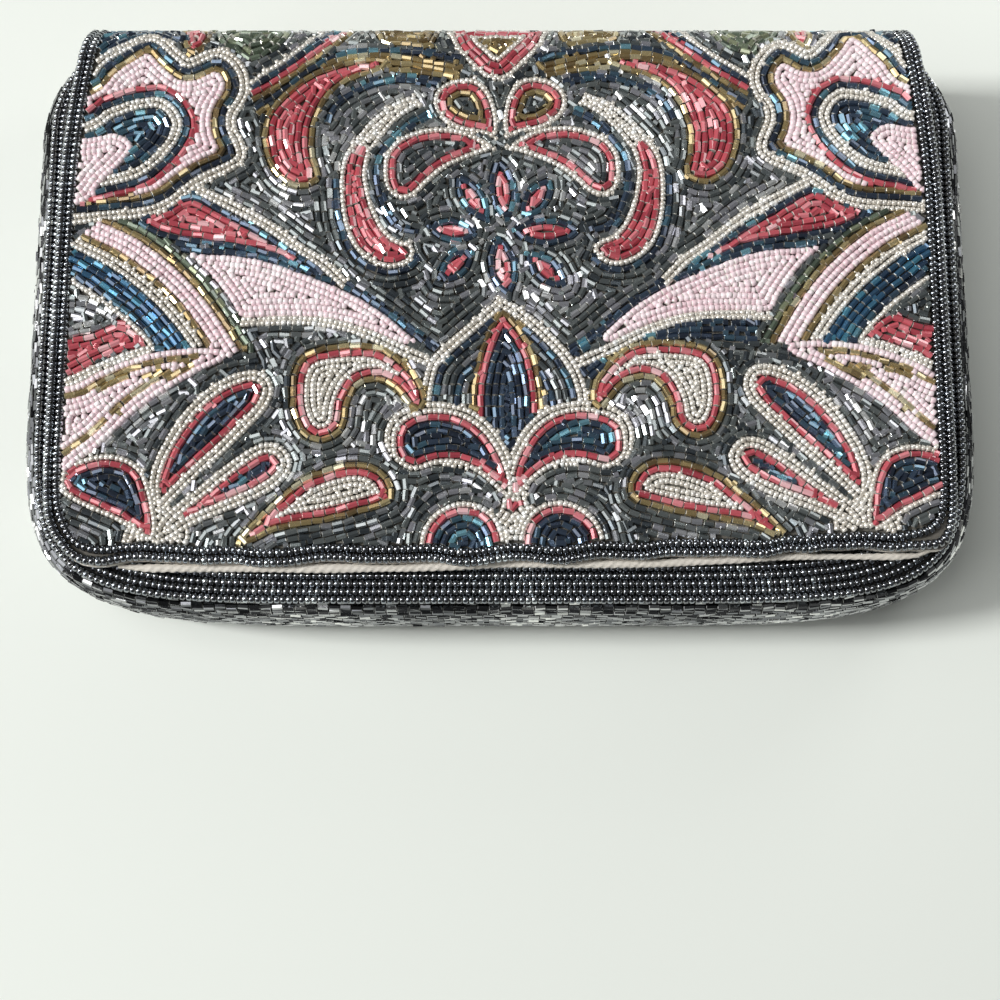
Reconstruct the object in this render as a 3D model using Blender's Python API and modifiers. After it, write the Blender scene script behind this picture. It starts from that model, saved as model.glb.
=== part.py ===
"""Beaded clutch: a soft pouch with a U-shaped gusset, a spine and a full flap.

Units are metres. X runs across the bag, Y from its bottom edge to its spine, and
+Z out of its front, so the bag lies on its back as it would on a table. The origin
is under the middle of the bag, on the surface that it lies on.

Every wall is a stack of layers. From the outside in they are beads, ground cloth,
board and lining, each a separate solid with a small gap to the next one.
"""

import math

import bmesh
import bpy
from mathutils import Vector

# Layers of a wall, from the outside in
GAP = 0.0003
BEAD_LAYER = 0.0016
CLOTH = 0.0007
BOARD = 0.0012
LINING = 0.0005

CLOTH_DEPTH = BEAD_LAYER + GAP
BOARD_DEPTH = CLOTH_DEPTH + CLOTH + GAP
LINING_DEPTH = BOARD_DEPTH + BOARD + GAP
WALL = LINING_DEPTH + LINING

# Pouch, seen from the front
POUCH_HALF_WIDTH = 0.1075
POUCH_BOTTOM = -0.0685
POUCH_MOUTH = 0.0645
POUCH_SHOULDER = 0.0055
POUCH_SQUARENESS = 4.8
MOUTH_DRAW_IN = 0.0060
MOUTH_DRAW_START = 0.0480
GUSSET_BULGE = 0.0050
COURSE_RELIEF = 0.0005
EDGING_WIDTH = 0.0062

# Pouch, seen from the side
POUCH_DEPTH = 0.0335
BACK_TOP = 0.0635
FOLD_RADIUS = 0.0100
SPINE_HALF_WIDTH = 0.1000
SPINE_DRAW_START = 0.0440

# Flap
FLAP_CLEARANCE = 0.0012
FLAP_HALF_WIDTH = 0.1032
FLAP_FOLD_HALF_WIDTH = 0.0985
FLAP_BOTTOM = -0.0570
FLAP_SHOULDER = 0.0000
FLAP_FLARE_END = 0.0250
FLAP_SQUARENESS = 7.5
FLAP_EDGING_WIDTH = 0.0046
BOARD_MARGIN = 0.0030
PIPING_RADIUS = 0.0014
PIPING_HALF_LENGTH_SHARE = 0.86
PIPING_END_SHARE = 0.45
MOTIF_RELIEF = 0.0005
MOTIF_ROOT = 0.0002

# Slip pocket on the back lining
POCKET_WIDTH = 0.1100
POCKET_HEIGHT = 0.0700
POCKET_BOTTOM = -0.0300
POCKET_SEAM = 0.0040
POCKET_HOLLOW = 0.0010
POCKET_CLOTH = 0.0006

# Magnetic snap, and the washers that hold it
SNAP_Y = -0.0370
SNAP_RADIUS = 0.0090
SNAP_BOSS_RADIUS = 0.0030
SNAP_RECESS_RADIUS = 0.0036
SNAP_RECESS_DEPTH = 0.0012
SNAP_FLOOR_CLEARANCE = 0.0004
SNAP_HOLE_CLEARANCE = 0.0005
STUD_PLATE = 0.0005
WASHER_RADIUS = 0.0075
WASHER_THICKNESS = 0.0006
PRONG_SPACING = 0.0080
PRONG_WIDTH = 0.0024
PRONG_THICKNESS = 0.0005
PRONG_SLOT_CLEARANCE = 0.0003
PRONG_TAIL = 0.0003

# How far a cutter runs past what it cuts
CUT_OVERRUN = 0.0010

# Points closer than this are one point
WELD_DISTANCE = 0.00003

# Counts and unitless values
OUTLINE_STEPS = 15
CORNER_BUNCHING = 1.6
SIDE_STEPS = 8
FOLD_STEPS = 6
GUSSET_STEPS = 12
SPINE_BOARD_STEPS = 4
ROUND_STEPS = 32
PIPING_ROUND_STEPS = 2
MOTIF_STEPS = 8
ROSETTE_LOBES = 5
ROSETTE_LOBE_SHARE = 0.10
PETALS = 8

# Motifs of the flap, which stand out from its bead field. A place is a share of the
# field's half width from its middle and of its height from its lower edge. A length
# and a width are shares of the half width, and a turn is in degrees from the X axis.
# A bend is how far the middle of a leaf stands off its chord, as a share of its length.
FIELD_HEIGHT_SHARE = 1.176
SIDE_LEAF_SHARES = (
    # across,  up, length, width, turn,  bend
    (0.870, 0.125, 0.190, 0.100, 33.0, 0.00),
    (0.615, 0.100, 0.340, 0.090, 147.0, 0.00),
    (0.650, 0.215, 0.360, 0.100, 133.0, 0.00),
    (0.405, 0.085, 0.320, 0.095, 163.0, 0.00),
    (0.800, 0.280, 0.300, 0.100, 152.0, 0.00),
    (0.330, 0.310, 0.260, 0.095, 164.0, -0.24),
    (0.145, 0.185, 0.260, 0.085, 25.0, 0.10),
    (0.105, 0.045, 0.180, 0.075, 0.0, 0.00),
    (0.460, 0.490, 0.530, 0.100, 21.0, 0.00),
    (0.565, 0.625, 0.380, 0.065, 17.0, 0.00),
    (0.795, 0.480, 0.360, 0.160, 44.0, 0.00),
    (0.405, 0.850, 0.310, 0.100, 119.0, -0.20),
    (0.235, 0.690, 0.330, 0.065, 95.0, -0.30),
    (0.145, 0.750, 0.230, 0.085, -17.0, 0.08),
    (0.085, 0.870, 0.140, 0.080, 40.0, 0.00),
)
MIDDLE_LEAF_SHARES = (
    (0.000, 0.345, 0.320, 0.230, 90.0, 0.00),
    (0.000, 0.950, 0.080, 0.130, 90.0, 0.00),
)
ROSETTE_PLACE_SHARES = (0.780, 0.825)
ROSETTE_RADIUS_SHARE = 0.165
FLOWER_PLACE_SHARES = (0.000, 0.615)
PETAL_OFFSET_SHARE = 0.088
PETAL_LENGTH_SHARE = 0.110
PETAL_WIDTH_SHARE = 0.052

FLAP_TOP = POUCH_DEPTH + FLAP_CLEARANCE + WALL
UPPER_FOLD_Z = FLAP_TOP - FOLD_RADIUS
SPINE_FACE = BACK_TOP + FOLD_RADIUS
QUARTER_TURN = math.pi / 2
MITRE = math.pi / 4

COLOURS = {
    "gunmetal": ((0.045, 0.050, 0.062, 1.0), 0.25, 0.90),
    "patterned": ((0.210, 0.080, 0.110, 1.0), 0.30, 0.45),
    "ground": ((0.100, 0.095, 0.095, 1.0), 0.85, 0.00),
    "board": ((0.420, 0.330, 0.230, 1.0), 0.90, 0.00),
    "satin": ((0.680, 0.630, 0.520, 1.0), 0.45, 0.00),
    "nickel": ((0.560, 0.550, 0.530, 1.0), 0.22, 1.00),
}


def clear_scene():
    for obj in list(bpy.data.objects):
        bpy.data.objects.remove(obj, do_unlink=True)


def new_collection(name):
    collection = bpy.data.collections.new(name)
    bpy.context.scene.collection.children.link(collection)
    return collection


def new_material(name, colour, roughness, metallic):
    material = bpy.data.materials.new(name)
    material.use_nodes = True
    shader = material.node_tree.nodes["Principled BSDF"]
    shader.inputs["Base Color"].default_value = colour
    shader.inputs["Roughness"].default_value = roughness
    shader.inputs["Metallic"].default_value = metallic
    return material


def finish(obj, colour_name, collection, parent):
    """Give an object its own material and its place in the assembly."""
    colour, roughness, metallic = COLOURS[colour_name]
    obj.data.materials.append(new_material(obj.name, colour, roughness, metallic))
    collection.objects.link(obj)
    if parent is not None:
        obj.parent = parent
        obj.matrix_parent_inverse = parent.matrix_world.inverted()
    return obj


def eased(first, last, share):
    """Blend smoothly from first to last as share goes from 0 to 1."""
    share = min(max(share, 0.0), 1.0)
    return first + (last - first) * share * share * (3.0 - 2.0 * share)


# The pouch's outline: straight sides, drawn in at the mouth, round at the bottom

def pouch_side(y, inset):
    """Half width of the pouch between its shoulder and its mouth."""
    share = max(y - MOUTH_DRAW_START, 0.0) / (POUCH_MOUTH - MOUTH_DRAW_START)
    return POUCH_HALF_WIDTH - inset - MOUTH_DRAW_IN * share * share


def squared_corner(half_width, depth, squareness, angle):
    """A point of the rounded bottom, as shares of its half width and depth."""
    across = abs(math.cos(angle)) / half_width
    down = abs(math.sin(angle)) / depth
    reach = (across ** squareness + down ** squareness) ** (-1.0 / squareness)
    return reach * math.cos(angle), reach * math.sin(angle)


def corner_angles(half_width, depth, steps):
    """Directions that put more points where the rounded corner turns."""
    corner = math.atan2(depth, half_width)
    angles = []
    for step in range(1, steps + 1):
        share = 2.0 * step / (steps + 1) - 1.0
        bent = math.copysign(abs(share) ** CORNER_BUNCHING, share)
        span = corner if bent < 0.0 else QUARTER_TURN - corner
        angles.append(corner + bent * span)
    return angles


def half_outline(side, shoulder, bottom, inset, squareness, tops):
    """Right half of an outline, from the top down to its lowest row."""
    points = [(side(y, inset), y) for y in tops]
    half_width = side(shoulder, inset)
    depth = shoulder - (bottom + inset)
    points.append((half_width, shoulder))
    for angle in corner_angles(half_width, depth, OUTLINE_STEPS):
        x, drop = squared_corner(half_width, depth, squareness, angle)
        points.append((x, shoulder - drop))
    return points


def side_rows(top, shoulder):
    """Heights of the rows between the top and the shoulder."""
    span = top - shoulder
    return [top - span * step / SIDE_STEPS for step in range(SIDE_STEPS)]


def pouch_outline(inset):
    return half_outline(pouch_side, POUCH_SHOULDER, POUCH_BOTTOM, inset,
                        POUCH_SQUARENESS, side_rows(POUCH_MOUTH, POUCH_SHOULDER))


def back_side(y, inset):
    """Half width of the back panel, which narrows to the spine's width."""
    share = (y - SPINE_DRAW_START) / (BACK_TOP - SPINE_DRAW_START)
    return eased(POUCH_HALF_WIDTH, SPINE_HALF_WIDTH, share) - inset


def back_outline(inset):
    return half_outline(back_side, POUCH_SHOULDER, POUCH_BOTTOM, inset,
                        POUCH_SQUARENESS, side_rows(BACK_TOP, POUCH_SHOULDER))


def flap_side(y, inset):
    """Half width of the flap, which widens below the fold."""
    share = (BACK_TOP + FOLD_RADIUS - y) / (BACK_TOP + FOLD_RADIUS - FLAP_FLARE_END)
    slow = 1.0 - (1.0 - min(max(share, 0.0), 1.0)) ** 2
    return FLAP_FOLD_HALF_WIDTH + (FLAP_HALF_WIDTH - FLAP_FOLD_HALF_WIDTH) * slow - inset


def flap_outline(inset):
    return half_outline(flap_side, FLAP_SHOULDER, FLAP_BOTTOM, inset,
                        FLAP_SQUARENESS, side_rows(BACK_TOP, FLAP_SHOULDER))


def spine_side(z):
    """Half width of the spine, from its lower fold to the flap's width above."""
    share = (z - FOLD_RADIUS) / (UPPER_FOLD_Z - FOLD_RADIUS)
    return eased(SPINE_HALF_WIDTH, flap_side(SPINE_FACE, 0.0), share)


# The wrap: back, lower fold, spine, upper fold and flap as one side profile

def fold_points(centre_z, depth, start, end):
    """Points of a fold at a depth below its outer face, angles from +Y to +Z."""
    radius = FOLD_RADIUS - depth
    points = []
    for step in range(FOLD_STEPS + 1):
        angle = start + (end - start) * step / FOLD_STEPS
        points.append((BACK_TOP + radius * math.cos(angle),
                       centre_z + radius * math.sin(angle)))
    return points


def mitre_trim(depth):
    """Angle that leaves half a gap at the mitre of a fold."""
    return math.asin(GAP / 2 / (FOLD_RADIUS - depth))


def back_fold(depth):
    trim = mitre_trim(depth + LINING)
    return fold_points(FOLD_RADIUS, depth, -QUARTER_TURN, -MITRE - trim)


def flap_fold(depth):
    trim = mitre_trim(depth + LINING)
    return fold_points(UPPER_FOLD_Z, depth, QUARTER_TURN, MITRE + trim)


def spine_profile(depth):
    trim = mitre_trim(depth + LINING)
    lower = fold_points(FOLD_RADIUS, depth, -MITRE + trim, 0.0)
    upper = fold_points(UPPER_FOLD_Z, depth, 0.0, MITRE - trim)
    return lower + upper


# Builders

def mesh_object(name, bm):
    mesh = bpy.data.meshes.new(name)
    bm.to_mesh(mesh)
    bm.free()
    return bpy.data.objects.new(name, mesh)


def sheet(name, rows, thickness):
    """A sheet made of straight rows across X, thickened to one side.

    Each row is (half width, y, z). Rows go round the bag from the flap's edge over
    the spine to the bottom of the back, so the face laid out is the outer one, and
    the thickness goes in from it.
    """
    bm = bmesh.new()
    pairs = []
    for half_width, y, z in rows:
        pairs.append((bm.verts.new((-half_width, y, z)), bm.verts.new((half_width, y, z))))
    for first, second in zip(pairs, pairs[1:]):
        bm.faces.new((first[0], first[1], second[1], second[0]))
    obj = mesh_object(name, bm)
    thicken(obj, thickness)
    return obj


def strip(name, outer, inner, thickness):
    """A band between two lines of points, thickened to one side."""
    bm = bmesh.new()
    pairs = []
    for first, second in zip(outer, inner):
        pairs.append((bm.verts.new(first), bm.verts.new(second)))
    for first, second in zip(pairs, pairs[1:]):
        bm.faces.new((first[0], first[1], second[1], second[0]))
    obj = mesh_object(name, bm)
    thicken(obj, thickness)
    return obj


def thicken(obj, thickness, depth=0.0):
    """Thicken a surface inwards, from a depth below it."""
    solidify = obj.modifiers.new("thickness", "SOLIDIFY")
    solidify.thickness = thickness
    solidify.offset = -1.0 - 2.0 * depth / thickness
    solidify.use_even_offset = True


def plate(name, outline, low, high):
    """A flat panel with the given half outline, from low to high in Z."""
    points = [(x, y) for x, y in outline] + [(-x, y) for x, y in reversed(outline)]
    return slab(name, [points], low, high)


def slab(name, outlines, low, high):
    """Flat outlines with a thickness, from a filled 2D curve."""
    curve = bpy.data.curves.new(name, "CURVE")
    curve.dimensions = "2D"
    curve.fill_mode = "BOTH"
    curve.extrude = (high - low) / 2
    for points in outlines:
        spline = curve.splines.new("POLY")
        spline.points.add(len(points) - 1)
        for place, (x, y) in zip(spline.points, points):
            place.co = (x, y, 0.0, 1.0)
        spline.use_cyclic_u = True
    guide = bpy.data.objects.new(name + "_outline", curve)
    bpy.context.scene.collection.objects.link(guide)
    bpy.context.view_layer.update()
    evaluated = guide.evaluated_get(bpy.context.evaluated_depsgraph_get())
    mesh = bpy.data.meshes.new_from_object(evaluated)
    bpy.data.objects.remove(guide, do_unlink=True)
    bm = bmesh.new()
    bm.from_mesh(mesh)
    bmesh.ops.remove_doubles(bm, verts=bm.verts, dist=WELD_DISTANCE)
    bmesh.ops.translate(bm, verts=bm.verts, vec=Vector((0.0, 0.0, (low + high) / 2)))
    bmesh.ops.recalc_face_normals(bm, faces=bm.faces)
    bm.to_mesh(mesh)
    bm.free()
    mesh.name = name
    return bpy.data.objects.new(name, mesh)


def disc(name, radius, low, high):
    """A round plate on the snap's axis."""
    bm = bmesh.new()
    bmesh.ops.create_cone(bm, cap_ends=True, segments=ROUND_STEPS,
                          radius1=radius, radius2=radius, depth=high - low)
    place = Vector((0.0, SNAP_Y, (low + high) / 2))
    bmesh.ops.translate(bm, verts=bm.verts, vec=place)
    return mesh_object(name, bm)


def block(name, size, centre):
    """A box of the given size about a centre."""
    bm = bmesh.new()
    bmesh.ops.create_cube(bm, size=1.0)
    bmesh.ops.scale(bm, verts=bm.verts, vec=Vector(size))
    bmesh.ops.translate(bm, verts=bm.verts, vec=Vector(centre))
    return mesh_object(name, bm)


def combine(obj, other, operation, cutters):
    """Join or cut with another object, which then stays as a guide."""
    if other.name not in cutters.objects:
        cutters.objects.link(other)
    other.hide_render = True
    other.display_type = "WIRE"
    boolean = obj.modifiers.new(other.name, "BOOLEAN")
    boolean.operation = operation
    boolean.object = other
    boolean.solver = "EXACT"


# Rows of the soft wrap

def flat_rows(outline, z):
    return [(x, y, z) for x, y in outline]


def back_rows(depth, inset, fold_inset):
    """Back panel from the lower mitre round the fold and down to the bottom."""
    flat = [(x, y, depth) for x, y in back_outline(inset)]
    width = SPINE_HALF_WIDTH - fold_inset
    fold = [(width, y, z) for y, z in back_fold(depth)]
    fold.reverse()
    return fold + flat[1:]


def spine_rows(depth, inset):
    """Spine from its upper mitre to its lower one."""
    rows = [(spine_side(z) - inset, y, z) for y, z in spine_profile(depth)]
    rows.reverse()
    return rows


def flap_rows(depth, inset, fold_inset):
    """Flap from the upper mitre round the fold and down to its edge."""
    fold = [(flap_side(y, fold_inset), y, z) for y, z in flap_fold(depth)]
    fold.reverse()
    flat = [(x, y, FLAP_TOP - depth) for x, y in flap_outline(inset)]
    return fold + flat[1:]


def upwards(rows):
    """The same rows from the lowest to the highest."""
    return list(reversed(rows))


def u_path(rows):
    """A U-shaped line of points from half rows: down one side and up the other."""
    left = [(-x, y, z) for x, y, z in rows]
    right = [(x, y, z) for x, y, z in reversed(rows)]
    return left + right


# Pouch pieces

def build_back(parts, pouch):
    inside = EDGING_WIDTH + GAP
    beads = sheet("back_beads", back_rows(0.0, inside, inside), BEAD_LAYER)
    finish(beads, "gunmetal", parts, pouch)
    outer = u_path(back_rows(0.0, 0.0, 0.0))
    inner = u_path(back_rows(0.0, EDGING_WIDTH, EDGING_WIDTH))
    edging = strip("back_edging", outer, inner, BEAD_LAYER)
    finish(edging, "gunmetal", parts, pouch)
    cloth = sheet("back_cloth", back_rows(CLOTH_DEPTH, 0.0, 0.0), CLOTH)
    finish(cloth, "ground", parts, pouch)
    board = plate("back_board", back_outline(WALL), BOARD_DEPTH, BOARD_DEPTH + BOARD)
    finish(board, "board", parts, pouch)
    lining = sheet("back_lining", back_rows(LINING_DEPTH, WALL, WALL), LINING)
    finish(lining, "satin", parts, pouch)


def build_gusset(parts, pouch):
    """The gusset's layers. Its bead skin has raised courses that run along it."""
    low = CLOTH_DEPTH + CLOTH + GAP
    high = POUCH_DEPTH - low
    lining_low = WALL + GAP
    lining_high = POUCH_DEPTH - WALL - GAP
    depths = (0.0, CLOTH_DEPTH, BOARD_DEPTH)
    layers = (("gusset_beads", BEAD_LAYER - COURSE_RELIEF, low, high, "gunmetal"),
              ("gusset_cloth", CLOTH, low, high, "ground"),
              ("gusset_lining", LINING, lining_low, lining_high, "satin"))
    for depth, (name, thickness, bottom, top, colour) in zip(depths, layers):
        rings = []
        for step in range(GUSSET_STEPS + 1):
            z = bottom + (top - bottom) * step / GUSSET_STEPS
            inset = -GUSSET_BULGE * math.sin(math.pi * (z - low) / (high - low))
            if name == "gusset_beads" and step % 2 == 1:
                inset += COURSE_RELIEF
            ring = [(x, y, z) for x, y in pouch_outline(inset)]
            rings.append(u_path(ring))
        finish(band(name, rings, thickness, depth), colour, parts, pouch)


def band(name, rings, thickness, depth):
    """A wall through several U-shaped rings, thickened inwards from a depth."""
    bm = bmesh.new()
    lines = [[bm.verts.new(point) for point in ring] for ring in rings]
    for lower, upper in zip(lines, lines[1:]):
        for step in range(len(lower) - 1):
            bm.faces.new((lower[step], lower[step + 1], upper[step + 1], upper[step]))
    obj = mesh_object(name, bm)
    thicken(obj, thickness, depth)
    return obj


def build_front(parts, cutters, pouch):
    bead_low = POUCH_DEPTH - BEAD_LAYER
    inside = EDGING_WIDTH + GAP
    beads = plate("front_beads", pouch_outline(inside), bead_low, POUCH_DEPTH)
    hole_radius = SNAP_RADIUS + SNAP_HOLE_CLEARANCE
    hole = disc("front_beads_hole", hole_radius, bead_low - CUT_OVERRUN,
                POUCH_DEPTH + CUT_OVERRUN)
    combine(beads, hole, "DIFFERENCE", cutters)
    finish(beads, "gunmetal", parts, pouch)

    outer = u_path(flat_rows(pouch_outline(0.0), POUCH_DEPTH))
    inner = u_path(flat_rows(pouch_outline(EDGING_WIDTH), POUCH_DEPTH))
    edging = strip("front_edging", inner, outer, BEAD_LAYER)
    finish(edging, "gunmetal", parts, pouch)

    cloth_high = POUCH_DEPTH - CLOTH_DEPTH
    cloth = plate("front_cloth", pouch_outline(0.0), cloth_high - CLOTH, cloth_high)
    cut_prong_slots(cloth, cloth_high - CLOTH, cloth_high, cutters)
    finish(cloth, "ground", parts, pouch)

    board_high = POUCH_DEPTH - BOARD_DEPTH
    board = plate("front_board", pouch_outline(WALL), board_high - BOARD, board_high)
    hole = disc("front_board_hole", WASHER_RADIUS + SNAP_HOLE_CLEARANCE,
                board_high - BOARD - CUT_OVERRUN, board_high + CUT_OVERRUN)
    combine(board, hole, "DIFFERENCE", cutters)
    finish(board, "board", parts, pouch)

    lining_high = POUCH_DEPTH - LINING_DEPTH
    lining = plate("front_lining", pouch_outline(WALL), lining_high - LINING, lining_high)
    finish(lining, "satin", parts, pouch)


def build_pocket(parts, cutters, pouch):
    """A cloth patch sewn to the back lining on three sides, open at its top."""
    low = WALL + GAP
    height = POCKET_HOLLOW + POCKET_CLOTH
    middle = POCKET_BOTTOM + POCKET_HEIGHT / 2
    patch = block("slip_pocket", (POCKET_WIDTH, POCKET_HEIGHT, height),
                  (0.0, middle, low + height / 2))
    hollow_width = POCKET_WIDTH - 2 * POCKET_SEAM
    hollow_low = low - CUT_OVERRUN
    hollow_height = POCKET_HOLLOW + CUT_OVERRUN
    hollow_bottom = POCKET_BOTTOM + POCKET_SEAM
    hollow_top = POCKET_BOTTOM + POCKET_HEIGHT + CUT_OVERRUN
    hollow = block("slip_pocket_hollow",
                   (hollow_width, hollow_top - hollow_bottom, hollow_height),
                   (0.0, (hollow_top + hollow_bottom) / 2, hollow_low + hollow_height / 2))
    combine(patch, hollow, "DIFFERENCE", cutters)
    finish(patch, "satin", parts, pouch)


# Magnetic snap

def prong_blocks(name, low, high, clearance):
    """The two flat legs of a snap half, or with a clearance, their slots."""
    size = (PRONG_THICKNESS + 2 * clearance, PRONG_WIDTH + 2 * clearance, high - low)
    legs = []
    for side, word in ((-1, "left"), (1, "right")):
        centre = (side * PRONG_SPACING / 2, SNAP_Y, (low + high) / 2)
        legs.append(block(name + "_" + word, size, centre))
    return legs


def cut_prong_slots(obj, low, high, cutters):
    slots = prong_blocks(obj.name + "_slot", low - CUT_OVERRUN, high + CUT_OVERRUN,
                         PRONG_SLOT_CLEARANCE)
    for slot in slots:
        combine(obj, slot, "DIFFERENCE", cutters)


def build_snap_socket(parts, cutters, pouch):
    low = POUCH_DEPTH - BEAD_LAYER
    socket = disc("snap_socket", SNAP_RADIUS, low, POUCH_DEPTH)
    recess = disc("snap_socket_recess", SNAP_RECESS_RADIUS,
                  POUCH_DEPTH - SNAP_RECESS_DEPTH, POUCH_DEPTH + CUT_OVERRUN)
    combine(socket, recess, "DIFFERENCE", cutters)
    washer_high = POUCH_DEPTH - BOARD_DEPTH
    washer_low = washer_high - WASHER_THICKNESS
    leg_low = washer_low - PRONG_TAIL
    for leg in prong_blocks("snap_socket_prong", leg_low, low + GAP, 0.0):
        combine(socket, leg, "UNION", cutters)
    finish(socket, "nickel", parts, pouch)

    washer = disc("snap_socket_washer", WASHER_RADIUS, washer_low, washer_high)
    cut_prong_slots(washer, washer_low, washer_high, cutters)
    finish(washer, "nickel", parts, pouch)


def build_snap_stud(parts, cutters, flap):
    lining_low = FLAP_TOP - WALL
    plate_high = lining_low - GAP
    plate_low = plate_high - STUD_PLATE
    stud = disc("snap_stud", SNAP_RADIUS, plate_low, plate_high)
    boss_low = POUCH_DEPTH - SNAP_RECESS_DEPTH + SNAP_FLOOR_CLEARANCE
    boss = disc("snap_stud_boss", SNAP_BOSS_RADIUS, boss_low, plate_low + GAP)
    combine(stud, boss, "UNION", cutters)
    washer_low = lining_low + LINING + GAP
    washer_high = washer_low + WASHER_THICKNESS
    leg_high = washer_high + PRONG_TAIL
    for leg in prong_blocks("snap_stud_prong", plate_high - GAP, leg_high, 0.0):
        combine(stud, leg, "UNION", cutters)
    finish(stud, "nickel", parts, flap)

    washer = disc("snap_stud_washer", WASHER_RADIUS, washer_low, washer_high)
    cut_prong_slots(washer, washer_low, washer_high, cutters)
    finish(washer, "nickel", parts, flap)


# Spine pieces

def build_spine(parts, spine):
    inside = FLAP_EDGING_WIDTH + GAP
    finish(sheet("spine_beads", spine_rows(0.0, inside), BEAD_LAYER),
           "patterned", parts, spine)
    for side, word in ((-1, "left"), (1, "right")):
        outer = [(side * x, y, z) for x, y, z in spine_rows(0.0, 0.0)]
        inner = [(side * x, y, z) for x, y, z in spine_rows(0.0, FLAP_EDGING_WIDTH)]
        if side > 0:
            outer, inner = inner, outer
        edging = strip("spine_edging_" + word, outer, inner, BEAD_LAYER)
        finish(edging, "gunmetal", parts, spine)
    finish(sheet("spine_cloth", spine_rows(CLOTH_DEPTH, 0.0), CLOTH),
           "ground", parts, spine)
    board_low = FOLD_RADIUS + GAP
    board_high = UPPER_FOLD_Z - GAP
    rows = []
    for step in range(SPINE_BOARD_STEPS + 1):
        z = board_high - (board_high - board_low) * step / SPINE_BOARD_STEPS
        rows.append((spine_side(z) - BOARD_MARGIN, SPINE_FACE - BOARD_DEPTH, z))
    finish(sheet("spine_board", rows, BOARD), "board", parts, spine)
    finish(sheet("spine_lining", spine_rows(LINING_DEPTH, WALL), LINING),
           "satin", parts, spine)


# Flap pieces

def leaf(across, up, length, width, turn, bend):
    """A leaf's outline, pointed at both ends, in shares of the field's half width."""
    angle = math.radians(turn)
    sides = ([], [])
    for step in range(MOTIF_STEPS + 1):
        place = 2.0 * step / MOTIF_STEPS - 1.0
        along = place * length / 2
        middle = bend * length * (1.0 - place * place)
        half = width / 2 * (1.0 - place * place)
        sides[0].append((along, middle + half))
        sides[1].append((along, middle - half))
    base = up * FIELD_HEIGHT_SHARE
    return [(across + u * math.cos(angle) - v * math.sin(angle),
             base + u * math.sin(angle) + v * math.cos(angle))
            for u, v in sides[0] + sides[1][-2:0:-1]]


def rosette(across, up, radius):
    """A flower head with round lobes, in shares of the field's half width."""
    count = ROSETTE_LOBES * MOTIF_STEPS // 2
    line = []
    for step in range(count):
        angle = 2.0 * math.pi * step / count
        reach = radius * (1.0 + ROSETTE_LOBE_SHARE * math.cos(ROSETTE_LOBES * angle))
        line.append((across + reach * math.cos(angle),
                     up * FIELD_HEIGHT_SHARE + reach * math.sin(angle)))
    return line


def motif_outlines(inside):
    """All the motifs' outlines on the flap, the same on its left and its right."""
    halves = [leaf(*row) for row in SIDE_LEAF_SHARES]
    halves.append(rosette(*ROSETTE_PLACE_SHARES, ROSETTE_RADIUS_SHARE))
    outlines = halves + [[(-u, v) for u, v in line] for line in halves]
    outlines += [leaf(*row) for row in MIDDLE_LEAF_SHARES]
    for step in range(PETALS):
        angle = 2.0 * math.pi * step / PETALS
        across, up = FLOWER_PLACE_SHARES
        across += PETAL_OFFSET_SHARE * math.cos(angle)
        up += PETAL_OFFSET_SHARE * math.sin(angle) / FIELD_HEIGHT_SHARE
        outlines.append(leaf(across, up, PETAL_LENGTH_SHARE, PETAL_WIDTH_SHARE,
                             math.degrees(angle), 0.0))
    low = FLAP_BOTTOM + inside
    placed = []
    for line in outlines:
        heights = [low + v / FIELD_HEIGHT_SHARE * (BACK_TOP - low) for u, v in line]
        placed.append([(u * flap_side(y, inside), y) for (u, v), y in zip(line, heights)])
    return placed


def field_rows(inset):
    """The flap's bead field, level with the edging at the fold and lower from there."""
    rows = flap_rows(0.0, inset, inset)
    folded = len(flap_fold(0.0))
    return rows[:folded] + [(x, y, z - MOTIF_RELIEF) for x, y, z in rows[folded:]]


def build_flap(parts, cutters, flap):
    inside = FLAP_EDGING_WIDTH + GAP
    beads = sheet("flap_beads", upwards(field_rows(inside)), BEAD_LAYER - MOTIF_RELIEF)
    motifs = slab("flap_motifs", motif_outlines(inside),
                  FLAP_TOP - MOTIF_RELIEF - MOTIF_ROOT, FLAP_TOP)
    combine(beads, motifs, "UNION", cutters)
    finish(beads, "patterned", parts, flap)
    outer = u_path(flap_rows(0.0, 0.0, 0.0))
    inner = u_path(flap_rows(0.0, FLAP_EDGING_WIDTH, FLAP_EDGING_WIDTH))
    finish(strip("flap_edging", inner, outer, BEAD_LAYER), "gunmetal", parts, flap)
    finish(sheet("flap_cloth", upwards(flap_rows(CLOTH_DEPTH, 0.0, 0.0)), CLOTH),
           "ground", parts, flap)

    board_high = FLAP_TOP - BOARD_DEPTH
    board = plate("flap_board", flap_outline(BOARD_MARGIN), board_high - BOARD, board_high)
    hole = disc("flap_board_hole", WASHER_RADIUS + SNAP_HOLE_CLEARANCE,
                board_high - BOARD - CUT_OVERRUN, board_high + CUT_OVERRUN)
    combine(board, hole, "DIFFERENCE", cutters)
    finish(board, "board", parts, flap)

    lining_high = FLAP_TOP - LINING_DEPTH
    lining = sheet("flap_lining", upwards(flap_rows(LINING_DEPTH, 0.0, WALL)), LINING)
    cut_prong_slots(lining, lining_high - LINING, lining_high, cutters)
    finish(lining, "satin", parts, flap)
    finish(build_piping(), "satin", parts, flap)


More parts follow.
